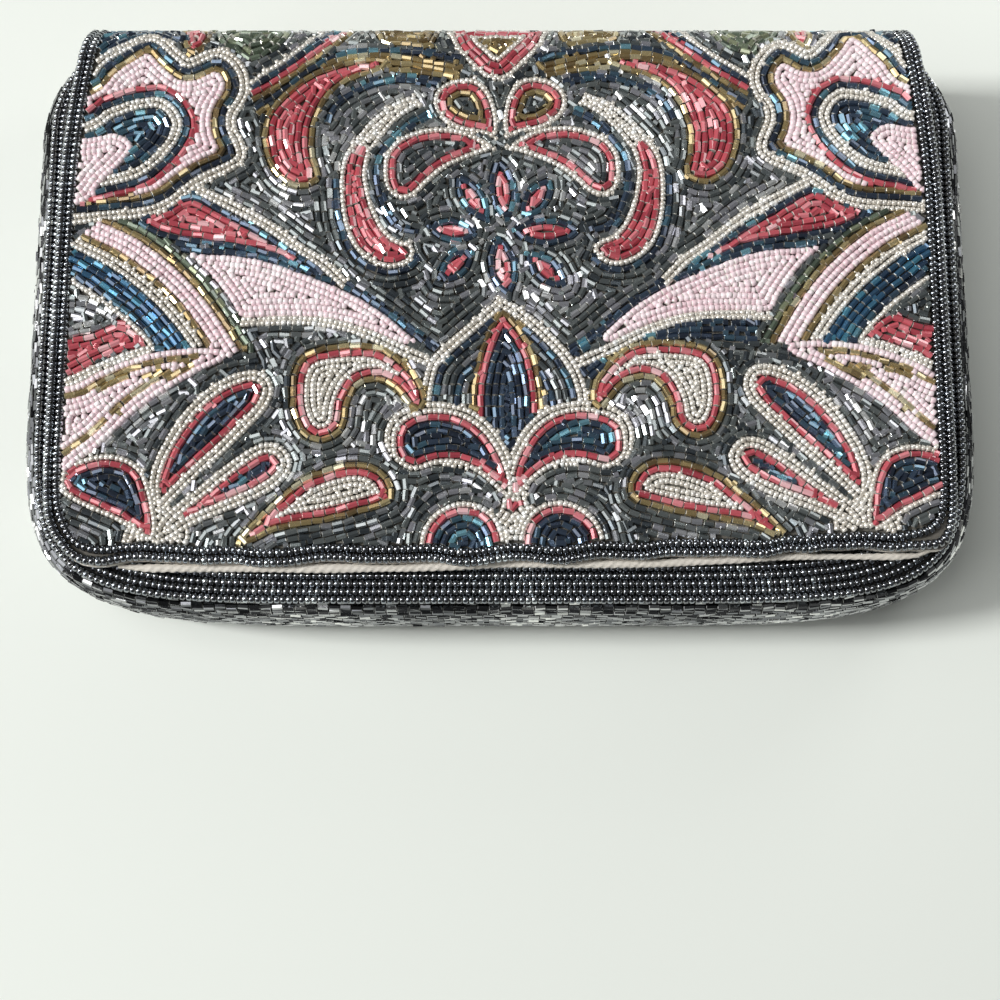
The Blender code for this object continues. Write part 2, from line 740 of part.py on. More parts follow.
def build_piping():
    """The rolled satin edge that follows the flap's lower edge."""
    inset = -(GAP + PIPING_RADIUS)
    reach = PIPING_HALF_LENGTH_SHARE * FLAP_HALF_WIDTH
    half = [(x, y) for x, y in flap_outline(inset) if x < reach and y < FLAP_SHOULDER]
    points = [(-x, y) for x, y in half] + [(x, y) for x, y in reversed(half)]
    z = FLAP_TOP - CLOTH_DEPTH - CLOTH - PIPING_RADIUS
    curve = bpy.data.curves.new("flap_piping", "CURVE")
    curve.dimensions = "3D"
    curve.bevel_depth = PIPING_RADIUS
    curve.bevel_resolution = PIPING_ROUND_STEPS
    curve.use_fill_caps = True
    spline = curve.splines.new("POLY")
    spline.points.add(len(points) - 1)
    last = len(points) - 1
    for index, (place, (x, y)) in enumerate(zip(spline.points, points)):
        place.co = (x, y, z, 1.0)
        place.radius = PIPING_END_SHARE if index in (0, last) else 1.0
    return bpy.data.objects.new("flap_piping", curve)


def pivot(name, y, z, collection, parent):
    """An empty on a fold's axis."""
    empty = bpy.data.objects.new(name, None)
    empty.location = (0.0, y, z)
    collection.objects.link(empty)
    bpy.context.view_layer.update()
    if parent is not None:
        empty.parent = parent
        empty.matrix_parent_inverse = parent.matrix_world.inverted()
    bpy.context.view_layer.update()
    return empty


def main():
    clear_scene()
    parts = new_collection("beaded_clutch")
    cutters = new_collection("cutters")
    reach = FOLD_RADIUS * math.cos(MITRE)
    spine = pivot("spine_pivot", BACK_TOP + reach, FOLD_RADIUS - reach, parts, None)
    flap = pivot("flap_pivot", BACK_TOP + reach, UPPER_FOLD_Z + reach, parts, spine)
    build_back(parts, None)
    build_gusset(parts, None)
    build_front(parts, cutters, None)
    build_pocket(parts, cutters, None)
    build_snap_socket(parts, cutters, None)
    build_spine(parts, spine)
    build_flap(parts, cutters, flap)
    build_snap_stud(parts, cutters, flap)


main()
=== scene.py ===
# %% [markdown]
# # A beaded clutch, lying on its back
#
# The bag is a flat pouch under a full flap, and the whole of it is covered with glass
# beads in a floral pattern. It takes some thirty-five thousand of them, so most of
# this lesson is about laying beads in rows, as an embroiderer does: outlines first,
# then the rows inside them, then the plain ground between. After that come the cloths
# and the lining, the small pocket inside, and the table and light of the photograph.

# %% The frame and the tools
import math

import bmesh
import bpy
import numpy as np
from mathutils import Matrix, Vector


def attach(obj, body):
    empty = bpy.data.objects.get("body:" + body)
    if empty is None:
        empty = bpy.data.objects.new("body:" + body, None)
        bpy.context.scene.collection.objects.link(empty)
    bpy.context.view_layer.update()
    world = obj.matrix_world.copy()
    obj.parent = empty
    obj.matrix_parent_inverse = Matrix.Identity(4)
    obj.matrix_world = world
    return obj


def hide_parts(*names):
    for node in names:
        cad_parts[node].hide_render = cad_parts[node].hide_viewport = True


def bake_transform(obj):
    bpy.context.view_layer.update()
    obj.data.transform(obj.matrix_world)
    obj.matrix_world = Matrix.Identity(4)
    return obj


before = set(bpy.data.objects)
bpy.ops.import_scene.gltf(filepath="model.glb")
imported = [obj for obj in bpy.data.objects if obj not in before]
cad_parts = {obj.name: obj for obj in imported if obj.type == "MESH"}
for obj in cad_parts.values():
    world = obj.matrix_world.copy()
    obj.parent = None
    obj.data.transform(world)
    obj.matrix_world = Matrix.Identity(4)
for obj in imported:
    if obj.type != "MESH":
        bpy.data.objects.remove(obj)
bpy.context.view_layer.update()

dice = np.random.default_rng(11)
print("nodes in the frame:", len(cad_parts))

# %% [markdown]
# ## The camera
#
# The photograph looks down on the bag from a little below its bottom edge. The camera
# comes first, because the pattern is read off the photograph: a point of the picture
# becomes a point on the flap by following the camera's ray down to it.

# %% Camera
CAMERA_PLACE = Vector((0.0, -0.1055, 0.37042))
CAMERA_TILT = math.radians(10.5)
PICTURE = 1000.0
FOCUS = 1500.0

camera_data = bpy.data.cameras.new("camera")
camera_data.sensor_fit = "HORIZONTAL"
camera_data.angle = 2 * math.atan(PICTURE / 2 / FOCUS)
camera = bpy.data.objects.new("camera", camera_data)
camera.location = CAMERA_PLACE
camera.rotation_euler = (CAMERA_TILT, 0.0, 0.0)
bpy.context.scene.collection.objects.link(camera)
bpy.context.scene.camera = camera
print("camera angle in degrees:", round(math.degrees(camera_data.angle), 2))

# %% [markdown]
# ## The sizes of the bag
#
# These repeat the main sizes of the CAD model, in millimetres. How square the corners
# are, the pouch's bottom line and the puckers of the flap's lower edge follow the
# photograph more closely than the CAD does, by a few millimetres at most. The flap, the
# spine and the back are one long wrap, so a place on them is an X and a length S,
# measured along the outer face from the flap's bottom edge over the spine to the bottom
# of the back.

# %% Sizes, in millimetres
# A squareness of 2 is an ellipse, and a higher one has sharper corners
BEAD_LAYER, GAP, CLOTH, BOARD, LINING = 1.6, 0.3, 0.7, 1.2, 0.5
CLOTH_DEPTH = BEAD_LAYER + GAP
LINING_DEPTH = CLOTH_DEPTH + CLOTH + GAP + BOARD + GAP
WALL = LINING_DEPTH + LINING
FLAP_TOP, FLAP_BOTTOM, BACK_TOP, FOLD = 39.6, -57.0, 63.5, 10.0
FLAP_HALF, FLAP_FOLD_HALF, FLARE_END, FLAP_SQUARE = 103.2, 98.5, 25.0, 12.0
POUCH_HALF, POUCH_BOTTOM, POUCH_MOUTH, POUCH_SHOULDER = 107.5, -66.7, 64.5, 5.5
POUCH_SQUARE, POUCH_DEPTH, SPINE_HALF = 6.6, 33.5, 100.0
FLAP_EDGING, POUCH_EDGING = 4.2, 6.2
GUSSET_LOW, GUSSET_HIGH, GUSSET_BULGE = 2.9, 30.6, 5.0
# The back narrows towards the spine above this height, and the front above its own
BACK_TAPER, FRONT_TAPER, MOUTH_NARROWING = 44.0, 48.0, 6.0
# The gusset bulges less at the bottom than at the sides, and rounds its corners a little
BOTTOM_BULGE_SHARE, SQUARENESS_PER_BULGE = 0.62, 0.16
SNAP_Y, SNAP_RADIUS = -37.0, 9.0

FLAT_END = BACK_TOP - FLAP_BOTTOM
QUARTER = FOLD * math.pi / 2
SPINE_START = FLAT_END + QUARTER
SPINE_END = SPINE_START + FLAP_TOP - 2 * FOLD
BACK_START = SPINE_END + QUARTER
BACK_END = BACK_START + BACK_TOP - POUCH_BOTTOM
SPINE_MIDDLE = (SPINE_START + SPINE_END) / 2
# The pattern turns back on itself near where the flap's fold meets the spine
TURN = 133.5
# The puckers of the flap's lower edge fade out over this length
PUCKER_REACH = 25
print("length of the wrap:", round(BACK_END, 1), "mm")


# %% The wrap and its outlines
def wrap(s, depth=0.0):
    """Y and Z of the wrap at a length s, at a depth below its face, and its slope."""
    s = np.asarray(s, float)
    upper = np.clip((s - FLAT_END) / FOLD, 0, math.pi / 2)
    lower = np.clip((s - SPINE_END) / FOLD, 0, math.pi / 2)
    slope = upper + lower
    down_spine = np.clip(s - SPINE_START, 0, SPINE_END - SPINE_START)
    y = FLAP_BOTTOM + np.minimum(s, FLAT_END) + FOLD * np.sin(upper)
    z = FLAP_TOP - FOLD + FOLD * np.cos(upper) - down_spine
    y = y - FOLD * (1 - np.cos(lower)) - np.maximum(s - BACK_START, 0)
    z = z - FOLD * np.sin(lower)
    return y - depth * np.sin(slope), z - depth * np.cos(slope), slope


def ease(first, last, share):
    """From a first value to a last one, slow at both ends."""
    share = np.clip(share, 0, 1)
    return first + (last - first) * share * share * (3 - 2 * share)


def flap_side(y):
    """Half width of the flap, which flares from the fold to its lower part."""
    share = np.clip((BACK_TOP + FOLD - y) / (BACK_TOP + FOLD - FLARE_END), 0, 1)
    return FLAP_FOLD_HALF + (FLAP_HALF - FLAP_FOLD_HALF) * (1 - (1 - share) ** 2)


def rounded(half, depth, squareness, drop):
    """Half width of a rounded bottom at a drop below its shoulder."""
    share = np.clip(np.abs(drop) / depth, 0, 0.99999)
    return half * (1 - share ** squareness) ** (1 / squareness)


def wrap_half(s, inset):
    """Half width of the wrap at a length s, less an inset all round."""
    s = np.asarray(s, float)
    y, z = wrap(s)[:2]
    flap_foot = rounded(FLAP_HALF - inset, -FLAP_BOTTOM - inset, FLAP_SQUARE, y)
    flap = np.where(y < 0, flap_foot, flap_side(y) - inset)
    spine = ease(SPINE_HALF, flap_side(BACK_TOP + FOLD), (z - FOLD) / (FLAP_TOP - 2 * FOLD)) - inset
    side = ease(POUCH_HALF, SPINE_HALF, (y - BACK_TAPER) / (BACK_TOP - BACK_TAPER)) - inset
    back_depth = POUCH_SHOULDER - POUCH_BOTTOM - inset
    back_foot = rounded(POUCH_HALF - inset, back_depth, POUCH_SQUARE, POUCH_SHOULDER - y)
    back = np.where(y < POUCH_SHOULDER, back_foot, side)
    return np.where(s < SPINE_START, flap, np.where(s < BACK_START, spine, back))


# How far the lower edge rises at places along it, read from the photograph
EDGE_X = [-103.2, -97.9, -96, -93.7, -89.2, -87, -84.8, -82.6, -79, -76, -71.5, -67, -62.5, -58, -55.8,
          -52.5, -49, -46.8, -44.6, -40, -35.7, -31, -22, -15.6, -13.4, -11, -7.8, -4.5, -2.2, 2.2, 6.7,
          11, 13.4, 15.6, 20, 23.5, 29, 32.4, 34.6, 38, 43.5, 47, 49, 56, 58, 60.3, 62.6, 64.8, 69.3,
          71.5, 73.8, 76, 81.6, 85, 87.2, 89.4, 91.7, 96.2, 99.5, 101.2, 103.2]
EDGE_RISE = [-1.6, -2.4, -3.6, -3.9, -3.3, -2.6, -1.8, -1.3, -1.1, -1.3, -1.4, -1.9, -1.6, -1.6, -2.3,
             -2.4, -2.3, -2.2, -1.7, -1.0, -1.0, -1.5, -1.4, -1.1, -1.3, -1.9, -2.3, -2.0, -1.6, -0.9,
             -1.0, -1.7, -1.8, -1.5, -0.6, -0.3, -0.7, -0.8, -0.3, 0.3, 0.0, 0.0, 0.3, -0.1, -0.3, 0.0,
             0.8, 1.3, 0.7, 1.4, 1.7, 1.4, 1.8, 1.1, 0.5, 0.2, 0.3, -1.3, -3.9, -5.2, -4.0]


def edge_lift(x):
    """The real flap's lower edge is puckered by its rolled hem and rises to the right."""
    return np.interp(x, EDGE_X, EDGE_RISE)


print("half widths at flap edge, fold and back:", wrap_half([20, 130, 200], 0).round(1))

# %% [markdown]
# ## From the picture to the flap
#
# The height of a point in the picture depends only on its length S, because the camera
# isn't turned sideways. So a short table of picture heights, worked out here along the
# wrap, is enough to go back from a pixel to S, and the pixel's distance from the middle
# then gives X.

# %% Picture to flap
def to_picture(x, y, z):
    """Column, row and distance ahead of the camera of a place in millimetres."""
    y_from, z_from = y - 1000 * CAMERA_PLACE.y, z - 1000 * CAMERA_PLACE.z
    ahead = y_from * math.sin(CAMERA_TILT) - z_from * math.cos(CAMERA_TILT)
    up = y_from * math.cos(CAMERA_TILT) + z_from * math.sin(CAMERA_TILT)
    return PICTURE / 2 + FOCUS * x / ahead, PICTURE / 2 - FOCUS * up / ahead, ahead


table_s = np.linspace(-12, 132, 600)
table_y, table_z = wrap(table_s, BEAD_LAYER / 2)[:2]
table_v, table_ahead = to_picture(0, table_y, table_z)[1:]
print("picture heights of the flap:", table_v.min().round(1), "to", table_v.max().round(1))


def on_flap(points):
    """X and S on the flap for points given in pixels of the photograph."""
    points = np.asarray(points, float)
    s = np.interp(-points[:, 1], -table_v, table_s)
    x = (points[:, 0] - PICTURE / 2) * np.interp(s, table_s, table_ahead) / FOCUS
    return np.column_stack((x, s))


def smooth(points, closed, steps=6):
    """A smooth line through given points. A point given twice is a corner."""
    points = [tuple(p[:2]) for p in points]
    count = len(points)
    line = []
    for i in range(count if closed else count - 1):
        a, b = points[i], points[(i + 1) % count]
        if a == b:
            continue
        before = points[i - 1] if closed or i > 0 else a
        after = points[(i + 2) % count] if closed or i + 2 < count else b
        a, b, before, after = (np.array(p, float) for p in (a, b, before, after))
        start = (b - before) / 2 if not np.array_equal(before, a) else b - a
        end = (after - a) / 2 if not np.array_equal(after, b) else b - a
        for t in np.arange(steps) / steps:
            from_start = (2 * t ** 3 - 3 * t ** 2 + 1) * a + (t ** 3 - 2 * t ** 2 + t) * start
            line.append(from_start + (3 * t ** 2 - 2 * t ** 3) * b + (t ** 3 - t ** 2) * end)
    if not closed:
        line.append(np.array(points[-1], float))
    return np.array(line)


# %% [markdown]
# ## The pattern
#
# The flap carries a common floral ornament: a flower, leaves, scrolls, palmettes and
# drops, the same on the left and the right. Each motif is a closed outline with rows of
# beads inside it, named from the outside in, and the last name fills what is left. A
# band is a set of rows that run between two lines. All the points are given in
# pixels of the photograph, for the left half: "both" is mirrored to the right, "centre"
# stands in the middle and "right" is on the right alone. The list runs from the top
# layer down, so where two motifs overlap, the one further up keeps the place.

# %% The motifs of the left half
MOTIFS = [
    ("blossom core", "both", [(40, 139), (80, 139), (98, 137), (113, 134), (126, 138), (134, 147),
     (128, 157), (118, 168), (104, 181), (94, 194), (84, 203), (40, 206)], ["pink"]),
    ("blossom heart", "both", [(40, 113), (84, 110), (96, 100), (112, 94), (130, 88), (148, 85),
     (163, 84), (176, 90), (187, 99), (195, 112), (198, 124), (195, 138), (189, 151), (180, 163),
     (168, 175), (152, 187), (135, 194), (112, 199), (84, 205), (40, 208)], ["red", "navy", "silver",
     "silver", "navy"]),
    ("blossom", "both", [(40, 76), (82, 74), (95, 60), (110, 50), (130, 41), (152, 36), (168, 40),
     (180, 50), (190, 58), (190, 58), (203, 52), (218, 48), (232, 52), (243, 62), (250, 76), (251, 92),
     (245, 106), (238, 117), (238, 128), (244, 140), (248, 152), (246, 163), (234, 172), (215, 181),
     (200, 189), (188, 198), (175, 208), (158, 216), (138, 220), (110, 222), (78, 225), (40, 227)],
     ["silver", "silver", "navy", "gold", "pink"]),
    ("corner field", "both", [(60, 76), (76, 50), (95, 28), (140, 20), (180, 20), (186, 45), (170, 42),
     (150, 36), (120, 46), (95, 62)], ["navy"]),
    ("red patch", "both", [(182, 22), (214, 22), (210, 44), (196, 56), (186, 52)], ["gold", "red"]),
    ("green patch", "both", [(216, 22), (290, 22), (284, 44), (262, 58), (246, 62), (234, 50), (222, 46)],
     ["green"]),
    ("tulip", "centre", [(446, 20), (450, 38), (458, 52), (470, 65), (483, 77), (497, 83), (497, 83),
     (511, 77), (524, 65), (538, 51), (546, 38), (549, 20)], ["silver", "red", "red", "silver", "gold"]),
    ("small leaf", "both", [(433, 106), (435, 93), (446, 83), (462, 78), (478, 80), (490, 92), (497, 110),
     (499, 128), (496, 141), (496, 141), (480, 135), (462, 132), (447, 125), (437, 116)], ["silver",
     "red", "gold", "dark"]),
    ("leaf", "both", [(383, 172), (385, 156), (395, 142), (412, 133), (435, 128), (460, 130), (480, 138),
     (499, 150), (499, 150), (484, 154), (465, 161), (446, 170), (431, 182), (418, 195), (405, 201),
     (392, 197), (385, 187)], ["silver", "red", "dark"]),
    ("scroll head", "both", [(416, 95), (416, 95), (393, 104), (372, 120), (352, 143), (352, 143),
     (372, 155), (372, 155), (386, 135), (402, 118), (422, 106), (422, 106)], ["silver"]),
    ("scroll", "both", [(417, 97), (417, 97), (395, 104), (375, 120), (358, 138), (345, 155), (340, 175),
     (340, 200), (344, 225), (353, 247), (368, 262), (388, 270), (405, 267), (416, 256), (412, 244),
     (398, 240), (385, 228), (376, 210), (370, 190), (368, 172), (374, 150), (388, 130), (404, 115),
     (418, 103), (418, 103)], ["silver", "red"]),
    ("crescent", "both", [(262, 140), (264, 120), (272, 105), (285, 92), (301, 79), (320, 69), (345, 61),
     (370, 57), (391, 59), (391, 59), (388, 69), (370, 76), (350, 83), (335, 93), (325, 106), (318, 122),
     (315, 140), (317, 160), (322, 178), (312, 188), (295, 190), (278, 180), (267, 162)], ["gold",
     "red"]),
    ("gold patch", "both", [(374, 20), (441, 20), (437, 40), (428, 49), (400, 46), (385, 46), (377, 38)],
     ["gold"]),
    ("red wedge", "both", [(134, 222), (134, 222), (150, 214), (168, 206), (181, 197), (197, 195),
     (215, 204), (240, 218), (265, 232), (290, 248), (316, 264), (338, 284), (338, 284), (304, 273),
     (272, 259), (236, 251), (200, 246), (166, 240), (146, 231)], ["navy", "red"]),
    ("swoosh", "both", [(186, 255), (186, 255), (206, 256), (240, 258), (270, 264), (300, 274),
     (330, 286), (360, 300), (390, 320), (416, 343), (416, 343), (404, 345), (380, 334), (350, 324),
     (320, 318), (280, 317), (243, 318), (234, 305), (221, 287), (207, 271)], ["pink"]),
    ("red corner", "both", [(50, 343), (76, 337), (96, 333), (114, 325), (127, 326), (141, 337),
     (146, 344), (126, 351), (100, 361), (80, 372), (50, 384)], ["red"]),
    ("dark corner", "both", [(50, 302), (80, 300), (100, 307), (122, 322), (114, 325), (95, 333),
     (75, 337), (50, 343)], ["dark"]),
    ("first vein", "both", [(108, 384), (130, 373), (155, 367), (198, 362), (196, 356), (155, 361),
     (128, 367), (106, 378)], ["gold"]),
    ("second vein", "both", [(55, 405), (85, 395), (108, 387), (142, 380), (168, 373), (166, 367),
     (140, 374), (106, 381), (83, 389), (55, 399)], ["gold"]),
    ("third vein", "both", [(58, 462), (85, 443), (107, 426), (127, 407), (147, 392), (167, 381),
     (192, 371), (190, 365), (164, 375), (143, 387), (123, 402), (103, 421), (82, 438), (55, 456)],
     ["gold"]),
    ("pink leaf", "both", [(45, 400), (80, 384), (105, 370), (135, 359), (165, 352), (200, 349),
     (228, 352), (224, 361), (200, 372), (176, 386), (151, 401), (126, 421), (106, 441), (86, 456),
     (45, 480)], ["pink"]),
    ("side petal", "both", [(56, 480), (70, 465), (88, 457), (108, 454), (128, 458), (143, 469),
     (151, 487), (156, 508), (158, 530), (152, 546), (152, 546), (136, 534), (115, 521), (92, 511),
     (72, 501), (58, 490)], ["silver", "red", "navy"]),
    ("tall petal", "both", [(151, 514), (149, 482), (155, 460), (165, 440), (178, 420), (193, 402),
     (212, 386), (232, 375), (252, 370), (268, 375), (275, 390), (270, 406), (258, 421), (243, 436),
     (226, 453), (208, 469), (192, 484), (177, 499), (164, 513), (154, 520)], ["silver", "silver", "red",
     "navy"]),
    ("low petal", "both", [(150, 546), (159, 522), (177, 504), (200, 486), (222, 468), (243, 453),
     (262, 443), (280, 444), (292, 457), (292, 470), (281, 485), (262, 497), (240, 507), (215, 517),
     (190, 528), (168, 542)], ["silver", "silver", "red", "navy"]),
    ("palmette foot", "both", [(122, 552), (140, 500), (160, 500), (190, 525), (180, 552)], ["silver"]),
    ("long leaf", "both", [(234, 544), (249, 525), (266, 508), (283, 493), (302, 478), (325, 468),
     (350, 462), (372, 464), (388, 475), (395, 490), (392, 503), (375, 510), (350, 517), (320, 524),
     (295, 528), (270, 534), (252, 544)], ["gold", "red", "silver"]),
    ("drop", "both", [(290, 395), (292, 375), (300, 358), (315, 349), (338, 345), (362, 344), (383, 347),
     (400, 357), (414, 370), (424, 385), (428, 402), (422, 413), (411, 411), (402, 399), (391, 388),
     (376, 383), (362, 386), (354, 396), (349, 410), (347, 426), (338, 438), (322, 444), (305, 439),
     (296, 426), (291, 411)], ["gold", "red", "silver"]),
    ("low leaf", "both", [(391, 446), (393, 428), (405, 416), (425, 409), (447, 409), (468, 415),
     (485, 427), (498, 443), (507, 460), (513, 480), (514, 503), (514, 503), (504, 498), (491, 485),
     (474, 472), (455, 465), (435, 466), (416, 472), (402, 467), (393, 458)], ["silver", "red", "navy"]),
    ("half disc", "both", [(419, 575), (419, 545), (423, 528), (433, 514), (447, 505), (463, 501),
     (480, 504), (494, 513), (503, 527), (507, 545), (507, 575)], ["silver", "red", "navy"]),
    ("low leaf brow", "both", [(385, 446), (387, 425), (400, 411), (422, 403), (447, 403), (470, 409),
     (489, 422), (503, 440), (512, 458), (518, 480), (518, 503), (504, 498), (474, 472), (435, 466),
     (402, 467)], ["silver"]),
    ("stem", "centre", [(505, 484), (505, 484), (521, 484), (521, 484), (520, 513), (520, 513),
     (506, 513), (506, 513)], ["red"]),
    ("stem foot", "centre", [(500, 462), (513, 472), (526, 462), (528, 500), (540, 520), (546, 550),
     (482, 550), (491, 520), (502, 503)], ["silver"]),
    ("bud heart", "centre", [(502, 307), (502, 307), (490, 324), (481, 345), (475, 365), (471, 388),
     (470, 410), (471, 440), (471, 640), (546, 640), (546, 440), (545, 410), (543, 386), (538, 362),
     (529, 340), (516, 321)], ["gold", "red", "navy"]),
    ("bud", "centre", [(500, 297), (500, 297), (480, 314), (460, 331), (442, 347), (429, 361), (423, 380),
     (420, 402), (420, 430), (420, 640), (592, 640), (592, 430), (590, 402), (585, 380), (575, 360),
     (560, 342), (541, 324), (521, 308)], ["silver", "silver", "navy", "dark", "dark", "navy", "dark"]),
]
print("closed motifs of the left half:", len(MOTIFS))

# %% Petals and bands of the left half
# The bud's rows run on straight below its foot, and only the part inside this line is laid
CLIPS = {
    "bud": [(500, 290), (400, 380), (410, 430), (450, 450), (480, 464), (507, 490), (538, 464),
            (562, 450), (600, 430), (610, 380)],
}
CLIPS["bud heart"] = CLIPS["bud"]
# A petal of the flower is its middle, its length and width, and the way it points
PETALS = [
    ((453, 232), 50, 27, 8), ((546, 233), 68, 30, 0), ((456, 267), 46, 27, -42), ((546, 271), 52, 28, 40),
    ((503, 268), 60, 32, 80), ((503, 192), 62, 30, 82), ((473, 200), 56, 27, 55),
    ((537, 200), 50, 27, -52),
]
BANDS = [
    ("scroll shadow", "both", [(424, 110), (405, 122), (389, 137), (376, 157), (373, 178), (377, 200),
     (384, 218), (396, 232), (416, 238)], [(432, 118), (412, 128), (396, 143), (383, 160), (380, 178),
     (384, 197), (391, 213), (402, 226), (420, 231)], ["navy"]),
    ("scroll back", "both", [(333, 180), (334, 205), (338, 228), (347, 252), (364, 269), (386, 277),
     (408, 274), (422, 263)], [(340, 180), (340, 203), (344, 226), (353, 247), (368, 262), (388, 270),
     (405, 267), (416, 256)], ["navy"]),
    ("top arcs", "both", [(251, 82), (262, 72), (282, 60), (302, 45), (325, 31), (345, 20)], [(252, 104),
     (266, 98), (285, 85), (310, 67), (333, 50), (356, 34)], ["silver", "navy", "red", "gold"]),
    ("long arcs", "both", [(254, 108), (270, 99), (288, 86), (312, 68), (337, 54), (366, 49), (400, 49),
     (435, 52), (462, 58)], [(258, 118), (272, 104), (285, 92), (301, 79), (320, 69), (345, 61),
     (380, 58), (430, 66), (460, 71)], ["navy", "gold"]),
    ("gold arcs", "both", [(391, 60), (410, 61), (435, 66), (458, 71)], [(388, 74), (410, 75), (435, 77),
     (455, 80)], ["gold", "gold"]),
    ("blue arcs", "both", [(324, 124), (330, 108), (345, 94), (370, 82), (400, 76), (440, 80)],
     [(331, 126), (337, 112), (350, 100), (373, 89), (402, 84), (438, 89)], ["navy"]),
    ("white slope", "both", [(199, 186), (240, 204), (272, 222), (303, 245), (330, 262), (352, 284)],
     [(196, 195), (237, 216), (266, 232), (295, 253), (320, 270), (345, 293)], ["silver", "silver"]),
    ("swoosh top", "both", [(176, 245), (200, 248), (240, 251), (275, 258), (304, 267), (334, 279),
     (364, 293), (394, 313), (424, 336), (448, 352)], [(186, 255), (206, 256), (240, 258), (270, 264),
     (300, 274), (330, 286), (360, 300), (390, 320), (416, 343), (442, 360)], ["navy"]),
    ("swoosh foot", "both", [(243, 318), (280, 317), (320, 318), (350, 324), (380, 334), (404, 345),
     (442, 360)], [(240, 328), (280, 326), (320, 327), (350, 334), (378, 346), (402, 358), (436, 372)],
     ["silver", "silver"]),
    ("navy sweep", "right", [(757, 316), (720, 318), (680, 322), (640, 332), (600, 350), (572, 372)],
     [(757, 345), (720, 342), (690, 340), (650, 344), (612, 364), (588, 384)], ["navy", "navy", "navy"]),
    ("sweep", "both", [(112, 214), (150, 231), (180, 253), (205, 277), (225, 302), (243, 330),
     (258, 354)], [(40, 268), (70, 284), (92, 298), (111, 311), (128, 325), (143, 339), (154, 354)],
     ["green", "gold", "pink", "pink", "pink", "gold", "silver", "silver", "blue", "blue", "blue", "navy",
     "silver"]),
    ("leaf edge", "both", [(50, 384), (80, 372), (105, 361), (135, 350), (165, 343), (205, 341),
     (255, 349)], [(45, 400), (80, 384), (105, 370), (135, 359), (165, 352), (200, 349), (250, 356)],
     ["silver", "silver"]),
    ("leaf back", "both", [(196, 378), (214, 366), (236, 360), (258, 356)], [(200, 386), (218, 374),
     (238, 368), (262, 364)], ["dark"]),
]
print("petals:", len(PETALS), "bands:", len(BANDS))


# %% Left and right
def mirrored(points):
    """The right half's points: the real bag's pattern leans and rises a little there."""
    out = []
    for x, y in points:
        axis = 499 + 0.028 * (y - 60)
        out.append((2 * axis - x, y - 10 * abs(x - 500) / 400))
    return out


def petal_outline(middle, length, width, turn):
    """A petal as a leaf shape in pixels."""
    angle = math.radians(turn)
    out = []
    for step in range(14):
        t = 2 * math.pi * step / 14
        u, v = length / 2 * math.cos(t), width / 2 * math.sin(t) * (1 - 0.25 * abs(math.cos(t)))
        out.append((middle[0] + u * math.cos(angle) - v * math.sin(angle),
                    middle[1] + u * math.sin(angle) + v * math.cos(angle)))
    return out


shapes, bands = [], []
for name, side, points, rows in MOTIFS:
    clip = on_flap(CLIPS[name]) if name in CLIPS else None
    shapes.append((on_flap(smooth(points, True)), rows, clip))
    if side == "both":
        shapes.append((on_flap(smooth(mirrored(points), True)), rows, clip))
for place, length, width, turn in PETALS:
    petal = smooth(petal_outline(place, length, width, turn), True, 3)
    shapes.append((on_flap(petal), ["navy", "red"], None))
for name, side, first, second, rows in BANDS:
    bands.append((smooth(first, False), smooth(second, False), rows))
    if side == "both":
        bands.append((smooth(mirrored(first), False), smooth(mirrored(second), False), rows))
print("closed motifs:", len(shapes), "bands:", len(bands))

# %% [markdown]
# ## Distance fields
#
# A row inside an outline runs at a fixed distance from it. On a grid, the distance from
# the outline is a height map, and each row is one of its contour lines. This is why the
# rows turn corners and close up like real ones, with no special cases.

# %% Distance from an outline
GRID = 0.5
FIELD_LOW, FIELD_HIGH = np.array([-112.0, -2.0]), np.array([112.0, 137.0])
REACH = 11.0


def distance(outline, xs, ss, closed=True):
    """Distance from an outline at each point of a grid, negative inside a closed one."""
    x, s = np.meshgrid(xs, ss)
    near = np.full(x.shape, 1e9)
    inside = np.zeros(x.shape, bool)
    following = np.roll(outline, -1, axis=0) if closed else outline[1:]
    for (x0, s0), (x1, s1) in zip(outline, following):
        dx, ds = x1 - x0, s1 - s0
        size = dx * dx + ds * ds
        if size < 1e-12:
            continue
        t = np.clip(((x - x0) * dx + (s - s0) * ds) / size, 0, 1)
        near = np.minimum(near, (x - x0 - t * dx) ** 2 + (s - s0 - t * ds) ** 2)
        if closed and s0 != s1:
            inside ^= ((s0 > s) != (s1 > s)) & (x < x0 + (s - s0) * dx / ds)
    return np.where(inside, -1.0, 1.0) * np.sqrt(near)


